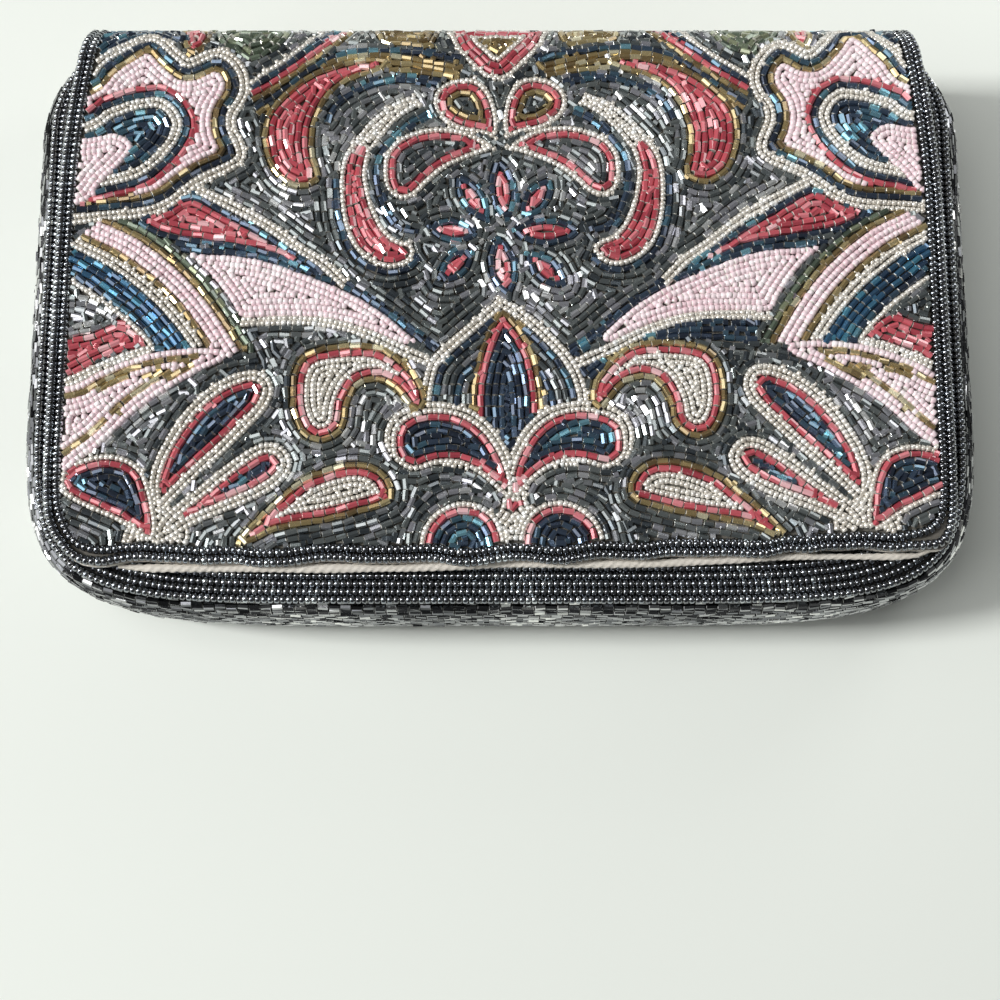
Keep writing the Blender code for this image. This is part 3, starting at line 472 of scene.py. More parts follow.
def contours(field, level):
    """Lines where a grid has a given value, as lists of (column, row) points."""
    f = field - level
    f = np.where(f == 0, 1e-9, f)
    high = f > 0
    across = high[:, :-1] != high[:, 1:]
    down = high[:-1, :] != high[1:, :]
    place = {}
    links = {}
    rows, columns = np.nonzero(across)
    for i, j in zip(rows.tolist(), columns.tolist()):
        place[(0, i, j)] = (j + f[i, j] / (f[i, j] - f[i, j + 1]), float(i))
    rows, columns = np.nonzero(down)
    for i, j in zip(rows.tolist(), columns.tolist()):
        place[(1, i, j)] = (float(j), i + f[i, j] / (f[i, j] - f[i + 1, j]))
    mixed = across[:-1, :] | across[1:, :] | down[:, :-1] | down[:, 1:]
    rows, columns = np.nonzero(mixed)
    for i, j in zip(rows.tolist(), columns.tolist()):
        edges = [e for e in ((0, i, j), (1, i, j + 1), (0, i + 1, j), (1, i, j)) if e in place]
        for a, b in zip(edges[::2], edges[1::2]):
            links.setdefault(a, []).append(b)
            links.setdefault(b, []).append(a)
    lines = []
    seen = set()
    for start in sorted(links, key=lambda e: len(links[e])):
        if start in seen:
            continue
        chain, here = [start], start
        seen.add(start)
        while True:
            following = [e for e in links[here] if e not in seen]
            if not following:
                break
            here = following[0]
            seen.add(here)
            chain.append(here)
        closed = len(chain) > 3 and chain[0] in links[here]
        lines.append((np.array([place[e] for e in chain]), closed))
    return lines


def path_length(path):
    """The length of a path up to each of its points."""
    return np.concatenate(([0], np.cumsum(np.hypot(*np.diff(path, axis=0).T))))


def walk(path, pitch, closed, phase, fill=False):
    """Places along a path at an even pitch, or filling it, and the path's direction there."""
    if closed:
        path = np.vstack((path, path[:1]))
    along = path_length(path)
    total = along[-1]
    count = int(round(total / pitch)) if closed else int(total / pitch)
    if count < 1 or total < 0.8 * pitch:
        return np.zeros((0, 2)), np.zeros(0)
    gap = total / count if closed or fill else pitch
    at = (np.arange(count) + (phase if closed else 0.5)) * gap
    ends = []
    for shift in (-0.42 * pitch, 0.42 * pitch):
        where = (at + shift) % total if closed else np.clip(at + shift, 0, total)
        ends.append(np.column_stack([np.interp(where, along, path[:, k]) for k in (0, 1)]))
    turn = ends[1] - ends[0]
    return (ends[0] + ends[1]) / 2, np.arctan2(turn[:, 1], turn[:, 0])


# %% [markdown]
# ## Kinds of bead
#
# The silver outlines and the pink areas are short seed beads. The coloured areas and the
# ground are bugles, glass tubes about two and a half millimetres long. The rims have
# larger round seeds, a little smaller on the front than on the flap. Each kind has a
# pitch along its row and a spacing between rows, in millimetres.

# %% Bead sizes
# Each is a pitch, a row spacing, a length and a width
SEED = (1.18, 1.42, 1.16, 1.44)
BUGLE = (2.60, 1.60, 2.46, 1.52)
PINK_SEED = (1.22, 1.42, 1.36, 1.62)
RIM_SEED = (1.40, 2.00, 1.38, 2.24)
FRONT_SEED = (1.42, 1.80, 1.36, 2.00)
FINISHES = ["dark", "navy", "blue", "gold", "green", "red", "silver", "pink"]
SIZES = {finish: BUGLE for finish in FINISHES}
SIZES.update(silver=SEED, pink=PINK_SEED)
print("pitch along a row:", {finish: size[0] for finish, size in SIZES.items()})

# %% [markdown]
# ## Who owns a place
#
# Each motif writes itself into three fields that all share: the distance from the nearest
# motif, the number of the motif on top, and the finish that belongs there. A motif's rows
# are contour lines of its own distance. The ground's rows are those of the shared
# distance, so they run along the motifs and meet in the middle, as in the photograph.

# %% Shared fields
xs = np.arange(FIELD_LOW[0], FIELD_HIGH[0], GRID)
ss = np.arange(FIELD_LOW[1], FIELD_HIGH[1], GRID)
ground = np.full((len(ss), len(xs)), 40.0)
owner = np.full(ground.shape, -1)
fill = np.zeros(ground.shape, int)
rows_of = []


def claim(index, outline, finishes, lines=None, clip=None):
    """Write a motif into the shared fields and give its own distance field."""
    low = np.maximum(outline.min(axis=0) - REACH, FIELD_LOW)
    high = np.minimum(outline.max(axis=0) + REACH, FIELD_HIGH - GRID)
    i0, i1 = np.searchsorted(ss, [low[1], high[1]])
    j0, j1 = np.searchsorted(xs, [low[0], high[0]])
    field = distance(outline, xs[j0:j1], ss[i0:i1])
    window = (slice(i0, i1), slice(j0, j1))
    own = field if clip is None else np.maximum(field, distance(clip, xs[j0:j1], ss[i0:i1]))
    ground[window] = np.minimum(ground[window], own)
    mine = (own < 0) & (owner[window] == -1)
    owner[window] = np.where(mine, index, owner[window])
    edges = np.cumsum([SIZES[finish][1] for finish in finishes])
    if lines:
        sides = [distance(line, xs[j0:j1], ss[i0:i1], False) for line in lines]
        depth = edges[-1] * sides[0] / (sides[0] + sides[1] + 1e-9)
    else:
        depth = -field
    row = np.minimum(np.searchsorted(edges, depth), len(finishes) - 1)
    codes = np.array([FINISHES.index(finish) for finish in finishes])[row]
    fill[window] = np.where(mine, codes, fill[window])
    return field, np.array([xs[j0], ss[i0]])


print("points of the shared fields:", ground.size)

# %% Rows inside the motifs
for index, (outline, finishes, clip) in enumerate(shapes):
    field, corner = claim(index, outline, finishes, clip=clip)
    depth, row = 0.0, 0
    deepest = -field.min()
    while True:
        finish = finishes[min(row, len(finishes) - 1)]
        spacing = SIZES[finish][1]
        if depth + 0.42 * spacing > deepest:
            break
        for line, closed in contours(field, -(depth + spacing / 2)):
            rows_of.append((index, finish, line * GRID + corner, closed))
        depth += spacing
        row += 1
print("rows in the motifs:", len(rows_of))

# %% Rows between two lines, and the ground's rows
BAND_POINTS = 60
for number, (first, second, finishes) in enumerate(bands):
    index = len(shapes) + number
    pick = [np.linspace(0, len(line) - 1, BAND_POINTS) for line in (first, second)]
    first, second = [np.column_stack([np.interp(at, np.arange(len(line)), line[:, k]) for k in (0, 1)])
                     for at, line in zip(pick, (first, second))]
    outline = on_flap(np.vstack((first, second[::-1])))
    claim(index, outline, finishes, (on_flap(first[::4]), on_flap(second[::4])))
    shares = np.cumsum([0] + [SIZES[f][1] for f in finishes])
    shares = (shares[:-1] + shares[1:]) / 2 / shares[-1]
    for finish, share in zip(finishes, shares):
        rows_of.append((index, finish, on_flap(first + (second - first) * share), False))
row = 0
while (row + 0.5) * BUGLE[1] < min(ground.max(), REACH - 0.5):
    for line, closed in contours(ground, (row + 0.5) * BUGLE[1]):
        rows_of.append((-1, "dark", line * GRID + np.array([xs[0], ss[0]]), closed))
    row += 1
print("rows of beads to lay:", len(rows_of))

# %% [markdown]
# ## Laying the beads
#
# The rows are laid one after the other, the top motifs first. A fine grid remembers
# where there is glass already, and a bead that would lie mostly on another is left out.
# What stays bare is filled at the end with single beads, as an embroiderer does: whole
# bugles first, then half ones, and each time a little more overlap is let through.

# %% A sheet that remembers its beads
CELL = 0.25


class Sheet:
    """A flat sheet of cells with the beads laid on it so far."""

    def __init__(self, low, high, allowed):
        self.low = np.array(low, float)
        self.size = np.ceil((np.array(high) - self.low) / CELL).astype(int)
        x = self.low[0] + (np.arange(self.size[0]) + 0.5) * CELL
        s = self.low[1] + (np.arange(self.size[1]) + 0.5) * CELL
        self.x, self.s = np.meshgrid(x, s)
        self.taken = ~allowed(self.x, self.s)
        self.beads = []

    def cells(self, points, angles, length, width):
        """The cells that each bead of a given size covers."""
        u = np.arange(-length / 2 + CELL / 2, length / 2, CELL)
        v = np.arange(-width / 2 + CELL / 2, width / 2, CELL)
        u, v = [a.ravel() for a in np.meshgrid(u, v)]
        c, n = np.cos(angles)[:, None], np.sin(angles)[:, None]
        j = ((points[:, 0, None] + c * u - n * v - self.low[0]) / CELL).astype(int)
        i = ((points[:, 1, None] + n * u + c * v - self.low[1]) / CELL).astype(int)
        return np.clip(i, 0, self.size[1] - 1), np.clip(j, 0, self.size[0] - 1)

    def lay(self, points, angles, finish, most, share=1.0):
        """Lay the beads whose place is free, and give the number laid."""
        if not len(points):
            return 0
        length, width = SIZES[finish][2] * share, SIZES[finish][3]
        i, j = self.cells(points, angles, 0.92 * length, 0.9 * width)
        keep = self.taken[i, j].mean(axis=1) <= most
        self.taken[i[keep], j[keep]] = True
        code = FINISHES.index(finish)
        for (x, s), angle in zip(points[keep], angles[keep]):
            self.beads.append((x, s, angle, code, share))
        return int(keep.sum())


def look_up(table, points):
    """A field's values at places on the sheet, which is mirrored past its lower end."""
    j = np.clip(((points[:, 0] - xs[0]) / GRID + 0.5).astype(int), 0, len(xs) - 1)
    i = np.clip(((np.abs(points[:, 1]) - ss[0]) / GRID + 0.5).astype(int), 0, len(ss) - 1)
    return table[i, j]


# %% Rows first, then single beads
slope_s, slope_x = np.gradient(ground)
flow = np.arctan2(slope_x, -slope_s)
# A bead of a row may lie on others with at most this share of its cells
ROW_OVERLAP = 0.34
# The back is longer than the flap's pattern, so this length of it is laid again, mirrored
MIRROR_LENGTH = 45
# Each filling pass has its own overlap and lays whole bugles or small beads
LAST_PASS = 0.45
PASSES = ((0.12, False), (0.12, True), (0.24, False), (0.24, True), (0.32, True), (LAST_PASS, True))
# A pass looks at every second cell, in 6 by 6 rounds so that the beads of one round lie apart
ROUNDS, ROUND_STEP = 6, 2
HALF_BUGLE, SMALL_SEED = 0.5, 0.8


def fill_round(sheet, first_row, first_column, most, small):
    """Lay single beads on the free ones of a coarse grid of cells."""
    reach = ROUNDS * ROUND_STEP
    i, j = np.meshgrid(np.arange(ROUND_STEP * first_row, sheet.size[1], reach),
                       np.arange(ROUND_STEP * first_column, sheet.size[0], reach), indexing="ij")
    i, j = i.ravel(), j.ravel()
    free = ~sheet.taken[i, j]
    points = np.column_stack((sheet.x[i[free], j[free]], sheet.s[i[free], j[free]]))
    angles = look_up(flow, points) * np.where(points[:, 1] < 0, -1, 1)
    kinds = look_up(fill, points)
    for code, finish in enumerate(FINISHES):
        pick = kinds == code
        if SIZES[finish] is BUGLE and most < LAST_PASS:
            sheet.lay(points[pick], angles[pick], finish, most, HALF_BUGLE if small else 1.0)
        elif SIZES[finish] is not BUGLE and small:
            share = 1.0 if most < LAST_PASS else SMALL_SEED
            sheet.lay(points[pick], angles[pick], finish, most, share)


def lay_pattern(sheet, both_ways):
    """Lay all the rows on a sheet, and once more mirrored where it is longer."""
    for is_ground in (False, True):
        for index, finish, path, closed in rows_of:
            if (index == -1) != is_ground:
                continue
            points, angles = walk(path, SIZES[finish][0], closed, dice.random())
            mine = look_up(owner, points) == index if len(points) else np.zeros(0, bool)
            points, angles = points[mine], angles[mine]
            sheet.lay(points[points[:, 1] >= 0], angles[points[:, 1] >= 0], finish, ROW_OVERLAP)
            if both_ways:
                near = points[:, 1] < MIRROR_LENGTH
                sheet.lay(points[near] * [1, -1], -angles[near], finish, ROW_OVERLAP)
    rows_laid = len(sheet.beads)
    for most, small in PASSES:
        for first_row in range(ROUNDS):
            for first_column in range(ROUNDS):
                fill_round(sheet, first_row, first_column, most, small)
    print("beads in rows:", rows_laid, "and filling in:", len(sheet.beads) - rows_laid)


# %% The flap's sheet and the back's sheet
SHEET_HALF = 108


def flap_allows(x, s):
    """Where the flap's sheet may hold beads: inside its edge rows and up to the turn."""
    lifted = np.maximum(s - edge_lift(x), 0.0)
    return (np.abs(x) < wrap_half(lifted, FLAP_EDGING)) & (s - edge_lift(x) > FLAP_EDGING) & (s < TURN)


def back_allows(x, s):
    """The same for the back, whose sheet is counted backwards from the turn."""
    length = 2 * TURN - s
    inset = np.where(length < BACK_START, FLAP_EDGING, POUCH_EDGING)
    return (np.abs(x) < wrap_half(length, inset)) & (length < BACK_END - POUCH_EDGING) & (s < TURN)


flap_sheet = Sheet((-SHEET_HALF, 0), (SHEET_HALF, TURN + 1), flap_allows)
lay_pattern(flap_sheet, False)
back_sheet = Sheet((-SHEET_HALF, 2 * TURN - BACK_END), (SHEET_HALF, TURN + 1), back_allows)
lay_pattern(back_sheet, True)
print("flap and fold beads:", len(flap_sheet.beads), "back and spine beads:", len(back_sheet.beads))

# %% [markdown]
# ## Rows that follow the edges
#
# Every edge of the bag is bound with rows of round gunmetal seed beads: two rows on
# the flap and the spine, three on the back, five on the front. They are simply walked
# along the outline, at growing insets, and the flap's rows meet the back's halfway down
# the spine.

# %% Edge lines
def bottom_drop(x, half, depth, squareness):
    """How far a rounded bottom reaches below its shoulders at an X."""
    return depth * (1 - np.clip(np.abs(x) / half, 0, 1) ** squareness) ** (1 / squareness)


def superellipse(half, depth, squareness, steps=24):
    """A rounded bottom from its right shoulder to its left one, as X and a drop."""
    corner = np.cos(np.linspace(0, math.pi / 2, steps)) ** (2 / squareness)
    x = half * np.concatenate((corner[corner > 0.8], np.linspace(0.79, 0, 40)))
    drop = bottom_drop(x, half, depth, squareness)
    return np.concatenate((x, -x[-2::-1])), np.concatenate((drop, drop[-2::-1]))


def both_sides(half, side):
    """A right side and a left side as points, from a half width at each place."""
    return np.column_stack((half, side)), np.column_stack((-half, side))


def puckered(x, s):
    """A length S with the puckers of the flap's lower edge, which fade out upwards."""
    return s + edge_lift(x) * np.clip(1 - s / PUCKER_REACH, 0, 1)


def flap_edge(inset):
    """X and S of a line round the flap and half way down the spine."""
    x, drop = superellipse(FLAP_HALF - inset, -FLAP_BOTTOM - inset, FLAP_SQUARE)
    side = np.append(np.arange(-FLAP_BOTTOM + 1, SPINE_MIDDLE - 0.1, 1.0), SPINE_MIDDLE)
    right, left = both_sides(wrap_half(side, inset), side)
    return np.vstack((right[::-1], np.column_stack((x, puckered(x, -FLAP_BOTTOM - drop))), left))


def back_edge(inset, start):
    """X and S of a line round the back panel, from a length on its right to its left."""
    x, drop = superellipse(POUCH_HALF - inset, POUCH_SHOULDER - POUCH_BOTTOM - inset, POUCH_SQUARE)
    shoulder = BACK_START + BACK_TOP - POUCH_SHOULDER
    side = np.arange(start, shoulder - 1, 1.0)
    right, left = both_sides(wrap_half(side, inset), side)
    return np.vstack((right, np.column_stack((x, shoulder + drop)), left[::-1]))


def pouch_side(y):
    """Half width of the pouch's front, which narrows towards its mouth."""
    share = np.clip(y - FRONT_TAPER, 0, None) / (POUCH_MOUTH - FRONT_TAPER)
    return POUCH_HALF - MOUTH_NARROWING * share ** 2


def pouch_edge(inset):
    """X and Y of a line round the front of the pouch, from its right to its left."""
    low_inset = inset if inset > 0 else inset * BOTTOM_BULGE_SHARE
    squareness = POUCH_SQUARE + min(inset, 0) * SQUARENESS_PER_BULGE
    x, drop = superellipse(POUCH_HALF - inset, POUCH_SHOULDER - POUCH_BOTTOM - low_inset, squareness)
    side = np.arange(POUCH_SHOULDER + 1, POUCH_MOUTH + 0.01, 1.0)
    right, left = both_sides(pouch_side(side) - inset, side)
    return np.vstack((right[::-1], np.column_stack((x, POUCH_SHOULDER - drop)), left))


print("flap edge runs", round(np.hypot(*np.diff(flap_edge(0), axis=0).T).sum()), "mm")


# %% Beads in space
PADDING, UNEVENNESS = 0.8, 0.16


def puff(x, s):
    """How far the flap's padding lifts its face, with two slow waves where it is uneven."""
    share = np.clip(s / FLAT_END, 0, 1)
    hump = np.sin(math.pi * share) * (1 - np.clip(np.abs(x) / FLAP_HALF, 0, 1) ** 4)
    wave = np.sin(0.071 * x + 0.6) * np.sin(0.083 * s + 1.1) + 0.6 * np.sin(0.17 * x - 0.12 * s)
    return np.where(s < FLAT_END, PADDING * hump + UNEVENNESS * wave * np.sqrt(np.abs(hump)), 0.0)


def place_on_wrap(x, s, angle, depth):
    """Place, direction and outward direction of beads on the wrap, in millimetres."""
    y, z, slope = wrap(s, depth - puff(x, s))
    zero = np.zeros_like(y)
    along = np.column_stack((np.cos(angle), np.sin(angle) * np.cos(slope), -np.sin(angle) * np.sin(slope)))
    return np.column_stack((x, y, z)), along, np.column_stack((zero, np.sin(slope), np.cos(slope)))


def level_direction(angles):
    """Directions in the table's plane."""
    return np.column_stack((np.cos(angles), np.sin(angles), 0 * angles))


def upward(count):
    """As many directions away from the table."""
    return np.tile((0.0, 0.0, 1.0), (count, 1))


class Beads:
    """Beads of one finish that will become one piece."""

    def __init__(self):
        self.parts = []

    def add(self, place, along, up, size):
        """Keep more beads, all of one size or each with its own."""
        self.parts.append((place, along, up, np.broadcast_to(size, (len(place), 3))))

    def arrays(self):
        """Places, directions, outward directions and sizes, each as one array."""
        return [np.vstack([part[k] for part in self.parts]) for k in range(4)]


def jitter(place, along, up, lift, lean, roll):
    """Real beads sit a little high or low, askew and rolled."""
    count = len(place)
    side = np.cross(up, along)
    place = place + up * dice.normal(0, lift, (count, 1))
    along = along + side * dice.normal(0, lean, (count, 1)) + up * dice.normal(0, lean, (count, 1))
    turn = dice.uniform(-roll, roll, (count, 1))
    return place, along, up * np.cos(turn) + side * np.sin(turn)


def add_rows(beads, path, kind, placer, lift=0.05, lean=0.05, roll=0.5):
    """String one row of a kind of bead along a path."""
    points, angles = walk(path, kind[0], False, 0.5, True)
    place, along, up = jitter(*placer(points, angles), lift, lean, roll)
    beads.add(place, along, up, (kind[2], kind[3], kind[3]))


# %% Edge rows
EDGE_FIRST, RIM_DEPTH, FRONT_RIM_DEPTH = 1.05, 0.95, 0.9
FLAP_ROWS, BACK_ROWS, FRONT_ROWS = 2, 3, 5
# The back's third row starts this far before the back itself
ROW_LEAD = 4


def rim_on_wrap(points, angles):
    """Where the beads of a rim row lie on the wrap."""
    return place_on_wrap(points[:, 0], points[:, 1], angles, RIM_DEPTH)


def rim_on_front(points, angles):
    """Where the beads of a rim row lie on the front panel."""
    place = np.column_stack((points, np.full(len(points), POUCH_DEPTH - FRONT_RIM_DEPTH)))
    return place, level_direction(angles), upward(len(points))


flap_rim, back_rim, front_rim = Beads(), Beads(), Beads()
for row in range(FRONT_ROWS):
    inset = EDGE_FIRST + RIM_SEED[1] * row
    if row < FLAP_ROWS:
        add_rows(flap_rim, flap_edge(inset), RIM_SEED, rim_on_wrap)
        add_rows(back_rim, back_edge(inset, SPINE_MIDDLE), RIM_SEED, rim_on_wrap)
    elif row < BACK_ROWS:
        add_rows(back_rim, back_edge(inset, BACK_START - ROW_LEAD), RIM_SEED, rim_on_wrap)
    add_rows(front_rim, pouch_edge(FRONT_SEED[1] * (row + 0.5)), FRONT_SEED, rim_on_front)
print("edge beads:", [len(b.arrays()[0]) for b in (flap_rim, back_rim, front_rim)])

# %% [markdown]
# ## The gusset and the front panel
#
# The gusset, the band round the sides and the bottom, bulges like a cushion's side. Its
# bugles lie end to end along it, row above row. A profile of the bulge is measured along
# its curve, so that the rows keep their spacing where it turns in. The front panel under
# the flap gets plain rows too, like brickwork, with a round left free for the magnetic
# snap.

# %% Gusset rows
BULGE_SQUARENESS = 2.3
# How far a bugle's height, direction and roll vary on the gusset and on the front
GUSSET_PLAY, FRONT_PLAY = (0.10, 0.06, 0.5), (0.05, 0.04, 0.5)


def gusset_bulge(z):
    """How far the gusset stands out at a height: round at its two edges, flat between."""
    share = np.clip(2 * (z - GUSSET_LOW) / (GUSSET_HIGH - GUSSET_LOW) - 1, -1, 1)
    return GUSSET_BULGE * (1 - np.abs(share) ** BULGE_SQUARENESS) ** (1 / BULGE_SQUARENESS)


gusset = Beads()
profile_z = np.linspace(GUSSET_LOW + 0.2, GUSSET_HIGH + 0.5, 300)
profile_bulge = gusset_bulge(profile_z)
profile_tilt = np.arctan(np.gradient(profile_bulge, profile_z))
profile_length = np.concatenate(([0], np.cumsum(np.hypot(np.diff(profile_z), np.diff(profile_bulge)))))
gusset_rows = int(profile_length[-1] / BUGLE[1]) + 1
for row in range(gusset_rows):
    at = profile_length[-1] * row / (gusset_rows - 1)
    z = np.interp(at, profile_length, profile_z)
    bulge = np.interp(at, profile_length, profile_bulge)
    tilt = float(np.interp(at, profile_length, profile_tilt))

    def on_gusset(points, angles):
        """Where this row's bugles lie, tilted with the bulge."""
        up = np.column_stack((-np.sin(angles) * math.cos(tilt), np.cos(angles) * math.cos(tilt),
                              np.full(len(angles), -math.sin(tilt))))
        place = np.column_stack((points, np.full(len(points), z))) - BEAD_LAYER / 2 * up
        return place, level_direction(angles), up

    path = pouch_edge(-bulge)
    path = path[path[:, 1] < POUCH_MOUTH - 1.2 * (row % 2)]
    add_rows(gusset, path, BUGLE, on_gusset, *GUSSET_PLAY)
print("gusset rows:", gusset_rows, "with", len(gusset.arrays()[0]), "bugles")

# %% Front rows
front = Beads()
SNAP_GAP = SNAP_RADIUS + 1.4
# The gap between the ends of two bugles in a row
END_GAP = 0.12
FRONT_INSET = FRONT_ROWS * FRONT_SEED[1] + 0.1
front_depth = POUCH_SHOULDER - POUCH_BOTTOM - FRONT_INSET
for row, y in enumerate(np.arange(POUCH_BOTTOM + FRONT_INSET + 0.5, POUCH_MOUTH - 0.6, BUGLE[1])):
    drop = POUCH_SHOULDER - y
    half = pouch_side(y) - FRONT_INSET
    if drop > 0:
        half = float(rounded(POUCH_HALF - FRONT_INSET, front_depth, POUCH_SQUARE, drop))
    count = int(2 * half / BUGLE[0])
    ends = np.linspace(-half, half, count + 1)
    if row % 2:
        ends = np.concatenate(([-half], (ends[:-1] + ends[1:]) / 2, [half]))
    x, length = (ends[:-1] + ends[1:]) / 2, np.diff(ends) - END_GAP
    keep = np.hypot(x, y - SNAP_Y) > SNAP_GAP
    x, length = x[keep], length[keep]
    place = np.column_stack((x, np.full(len(x), y), np.full(len(x), POUCH_DEPTH - BEAD_LAYER / 2)))
    along = level_direction(np.zeros(len(x)))
    size = np.column_stack((length, np.full(len(x), BUGLE[3]), np.full(len(x), BUGLE[3])))
    front.add(*jitter(place, along, upward(len(x)), *FRONT_PLAY), size)
print("front bugles:", len(front.arrays()[0]))

# %% [markdown]
# ## From places to glass
#
# Each bead is modelled once, at a size of one, and Geometry Nodes copies it to every
# place. The places carry their direction, their size and a random tint as attributes,
# and the tint goes on to the material, so no two neighbours look quite the same. A
# bugle is cut from a glass tube. The end rings of every bead carry a mark, and there the
# material paints a pale highlight, the glint that the ends catch. Each bead also gets its
# own small square of one UV map.

# %% Bead shapes
def finished(bm, name):
    """An object with a finished bmesh as its mesh."""
    mesh = bpy.data.meshes.new(name)
    bm.to_mesh(mesh)
    bm.free()
    return bpy.data.objects.new(name, mesh)


def bead_shape(name, stations, radii, sides, is_smooth):
    """A bead of length and width one along X, closed at both ends."""
    bm = bmesh.new()
    uv = bm.loops.layers.uv.new("OFBake")
    cut = bm.verts.layers.float.new("cut")
    turns = [2 * math.pi * k / sides for k in range(sides)]
    rings = []
    for x, r in zip(stations, radii):
        rings.append([bm.verts.new((x, r * math.cos(turn), r * math.sin(turn))) for turn in turns])
    for first, second in zip(rings, rings[1:]):
        for k in range(sides):
            bm.faces.new((first[k], second[k], second[(k + 1) % sides], first[(k + 1) % sides]))
    # The end rings are marked for the painted highlight at each bead's ends
    for vertex in rings[0] + rings[-1]:
        vertex[cut] = 1.0
    bm.faces.new(rings[0])
    bm.faces.new(list(reversed(rings[-1])))
    bmesh.ops.triangulate(bm, faces=bm.faces)
    bmesh.ops.recalc_face_normals(bm, faces=bm.faces)
    for face in bm.faces:
        face.smooth = is_smooth
        for loop in face.loops:
            x, y, z = loop.vert.co
            loop[uv].uv = (0.5 + 0.5 * x, 0.5 + 0.5 * math.atan2(z, y) / math.pi)
    shape = finished(bm, name)
    return shape, len(shape.data.polygons)


# Each shape is a few rings, with their places along the bead and their radii
seed_shape, seed_faces = bead_shape("seed_bead", (-0.5, -0.27, 0.27, 0.5), (0.30, 0.5, 0.5, 0.30), 8, True)
short_shape, short_faces = bead_shape("short_seed", (-0.5, -0.38, 0.38, 0.5), (0.37, 0.5, 0.5, 0.37), 6, True)
bugle_rings, bugle_radii = (-0.5, -0.455, 0.455, 0.5), (0.42, 0.5, 0.5, 0.42)
bugle_shape, bugle_faces = bead_shape("bugle_bead", bugle_rings, bugle_radii, 7, False)
plain_shape, plain_faces = bead_shape("plain_bugle", (-0.5, 0.5), (0.5, 0.5), 6, False)
print("faces of each bead shape:", seed_faces, short_faces, bugle_faces, plain_faces)


# %% The node tree that strings them
def bead_tree():
    """Places with attributes in, beads out."""
    tree = bpy.data.node_groups.new("string_beads", "GeometryNodeTree")
    for name, kind in (("Geometry", "NodeSocketGeometry"), ("Bead", "NodeSocketObject"),
                       ("Cell size", "NodeSocketFloat"), ("Finish", "NodeSocketMaterial")):
        tree.interface.new_socket(name=name, in_out="INPUT", socket_type=kind)
    tree.interface.new_socket(name="Geometry", in_out="OUTPUT", socket_type="NodeSocketGeometry")
    nodes, links = tree.nodes, tree.links

    def attribute(name):
        """A vector that the mesh of places carries."""
        node = nodes.new("GeometryNodeInputNamedAttribute")
        node.data_type = "FLOAT_VECTOR"
        node.inputs["Name"].default_value = name
        return node.outputs["Attribute"]

    entry, leave = nodes.new("NodeGroupInput"), nodes.new("NodeGroupOutput")
    info = nodes.new("GeometryNodeObjectInfo")
    turn = nodes.new("FunctionNodeAxesToRotation")
    turn.primary_axis, turn.secondary_axis = "X", "Z"
    copies = nodes.new("GeometryNodeInstanceOnPoints")
    real = nodes.new("GeometryNodeRealizeInstances")
    scale, shift = nodes.new("ShaderNodeVectorMath"), nodes.new("ShaderNodeVectorMath")
    scale.operation, shift.operation = "SCALE", "ADD"
    store = nodes.new("GeometryNodeStoreNamedAttribute")
    store.data_type, store.domain = "FLOAT2", "CORNER"
    store.inputs["Name"].default_value = "OFBake"
    paint = nodes.new("GeometryNodeSetMaterial")
    links.new(entry.outputs["Bead"], info.inputs["Object"])
    links.new(attribute("along"), turn.inputs["Primary Axis"])
    links.new(attribute("up"), turn.inputs["Secondary Axis"])
    links.new(entry.outputs["Geometry"], copies.inputs["Points"])
    links.new(info.outputs["Geometry"], copies.inputs["Instance"])
    links.new(turn.outputs["Rotation"], copies.inputs["Rotation"])
    links.new(attribute("size"), copies.inputs["Scale"])
    links.new(copies.outputs["Instances"], real.inputs["Geometry"])
    links.new(attribute("OFBake"), scale.inputs[0])
    links.new(entry.outputs["Cell size"], scale.inputs["Scale"])
    links.new(scale.outputs[0], shift.inputs[0])
    links.new(attribute("cell"), shift.inputs[1])
    links.new(real.outputs["Geometry"], store.inputs["Geometry"])
    links.new(shift.outputs[0], store.inputs["Value"])
    links.new(store.outputs["Geometry"], paint.inputs["Geometry"])
    links.new(entry.outputs["Finish"], paint.inputs["Material"])
    links.new(paint.outputs["Geometry"], leave.inputs["Geometry"])
    return tree


string_beads = bead_tree()
print("nodes in the bead tree:", len(string_beads.nodes))


# %% Making a piece of beads
def socket(tree, name):
    """The key of a node tree's input on its modifier."""
    return next(item.identifier for item in tree.interface.items_tree
                if item.item_type == "SOCKET" and item.in_out == "INPUT" and item.name == name)


def link(obj):
    """Put an object into the scene."""
    bpy.context.scene.collection.objects.link(obj)
    return obj


def flatten(obj, name):
    """The evaluated object as a plain mesh of its own."""
    bpy.context.view_layer.update()
    mesh = bpy.data.meshes.new_from_object(obj.evaluated_get(bpy.context.evaluated_depsgraph_get()))
    bpy.data.objects.remove(obj, do_unlink=True)
    mesh.name = name
    return link(bpy.data.objects.new(name, mesh))


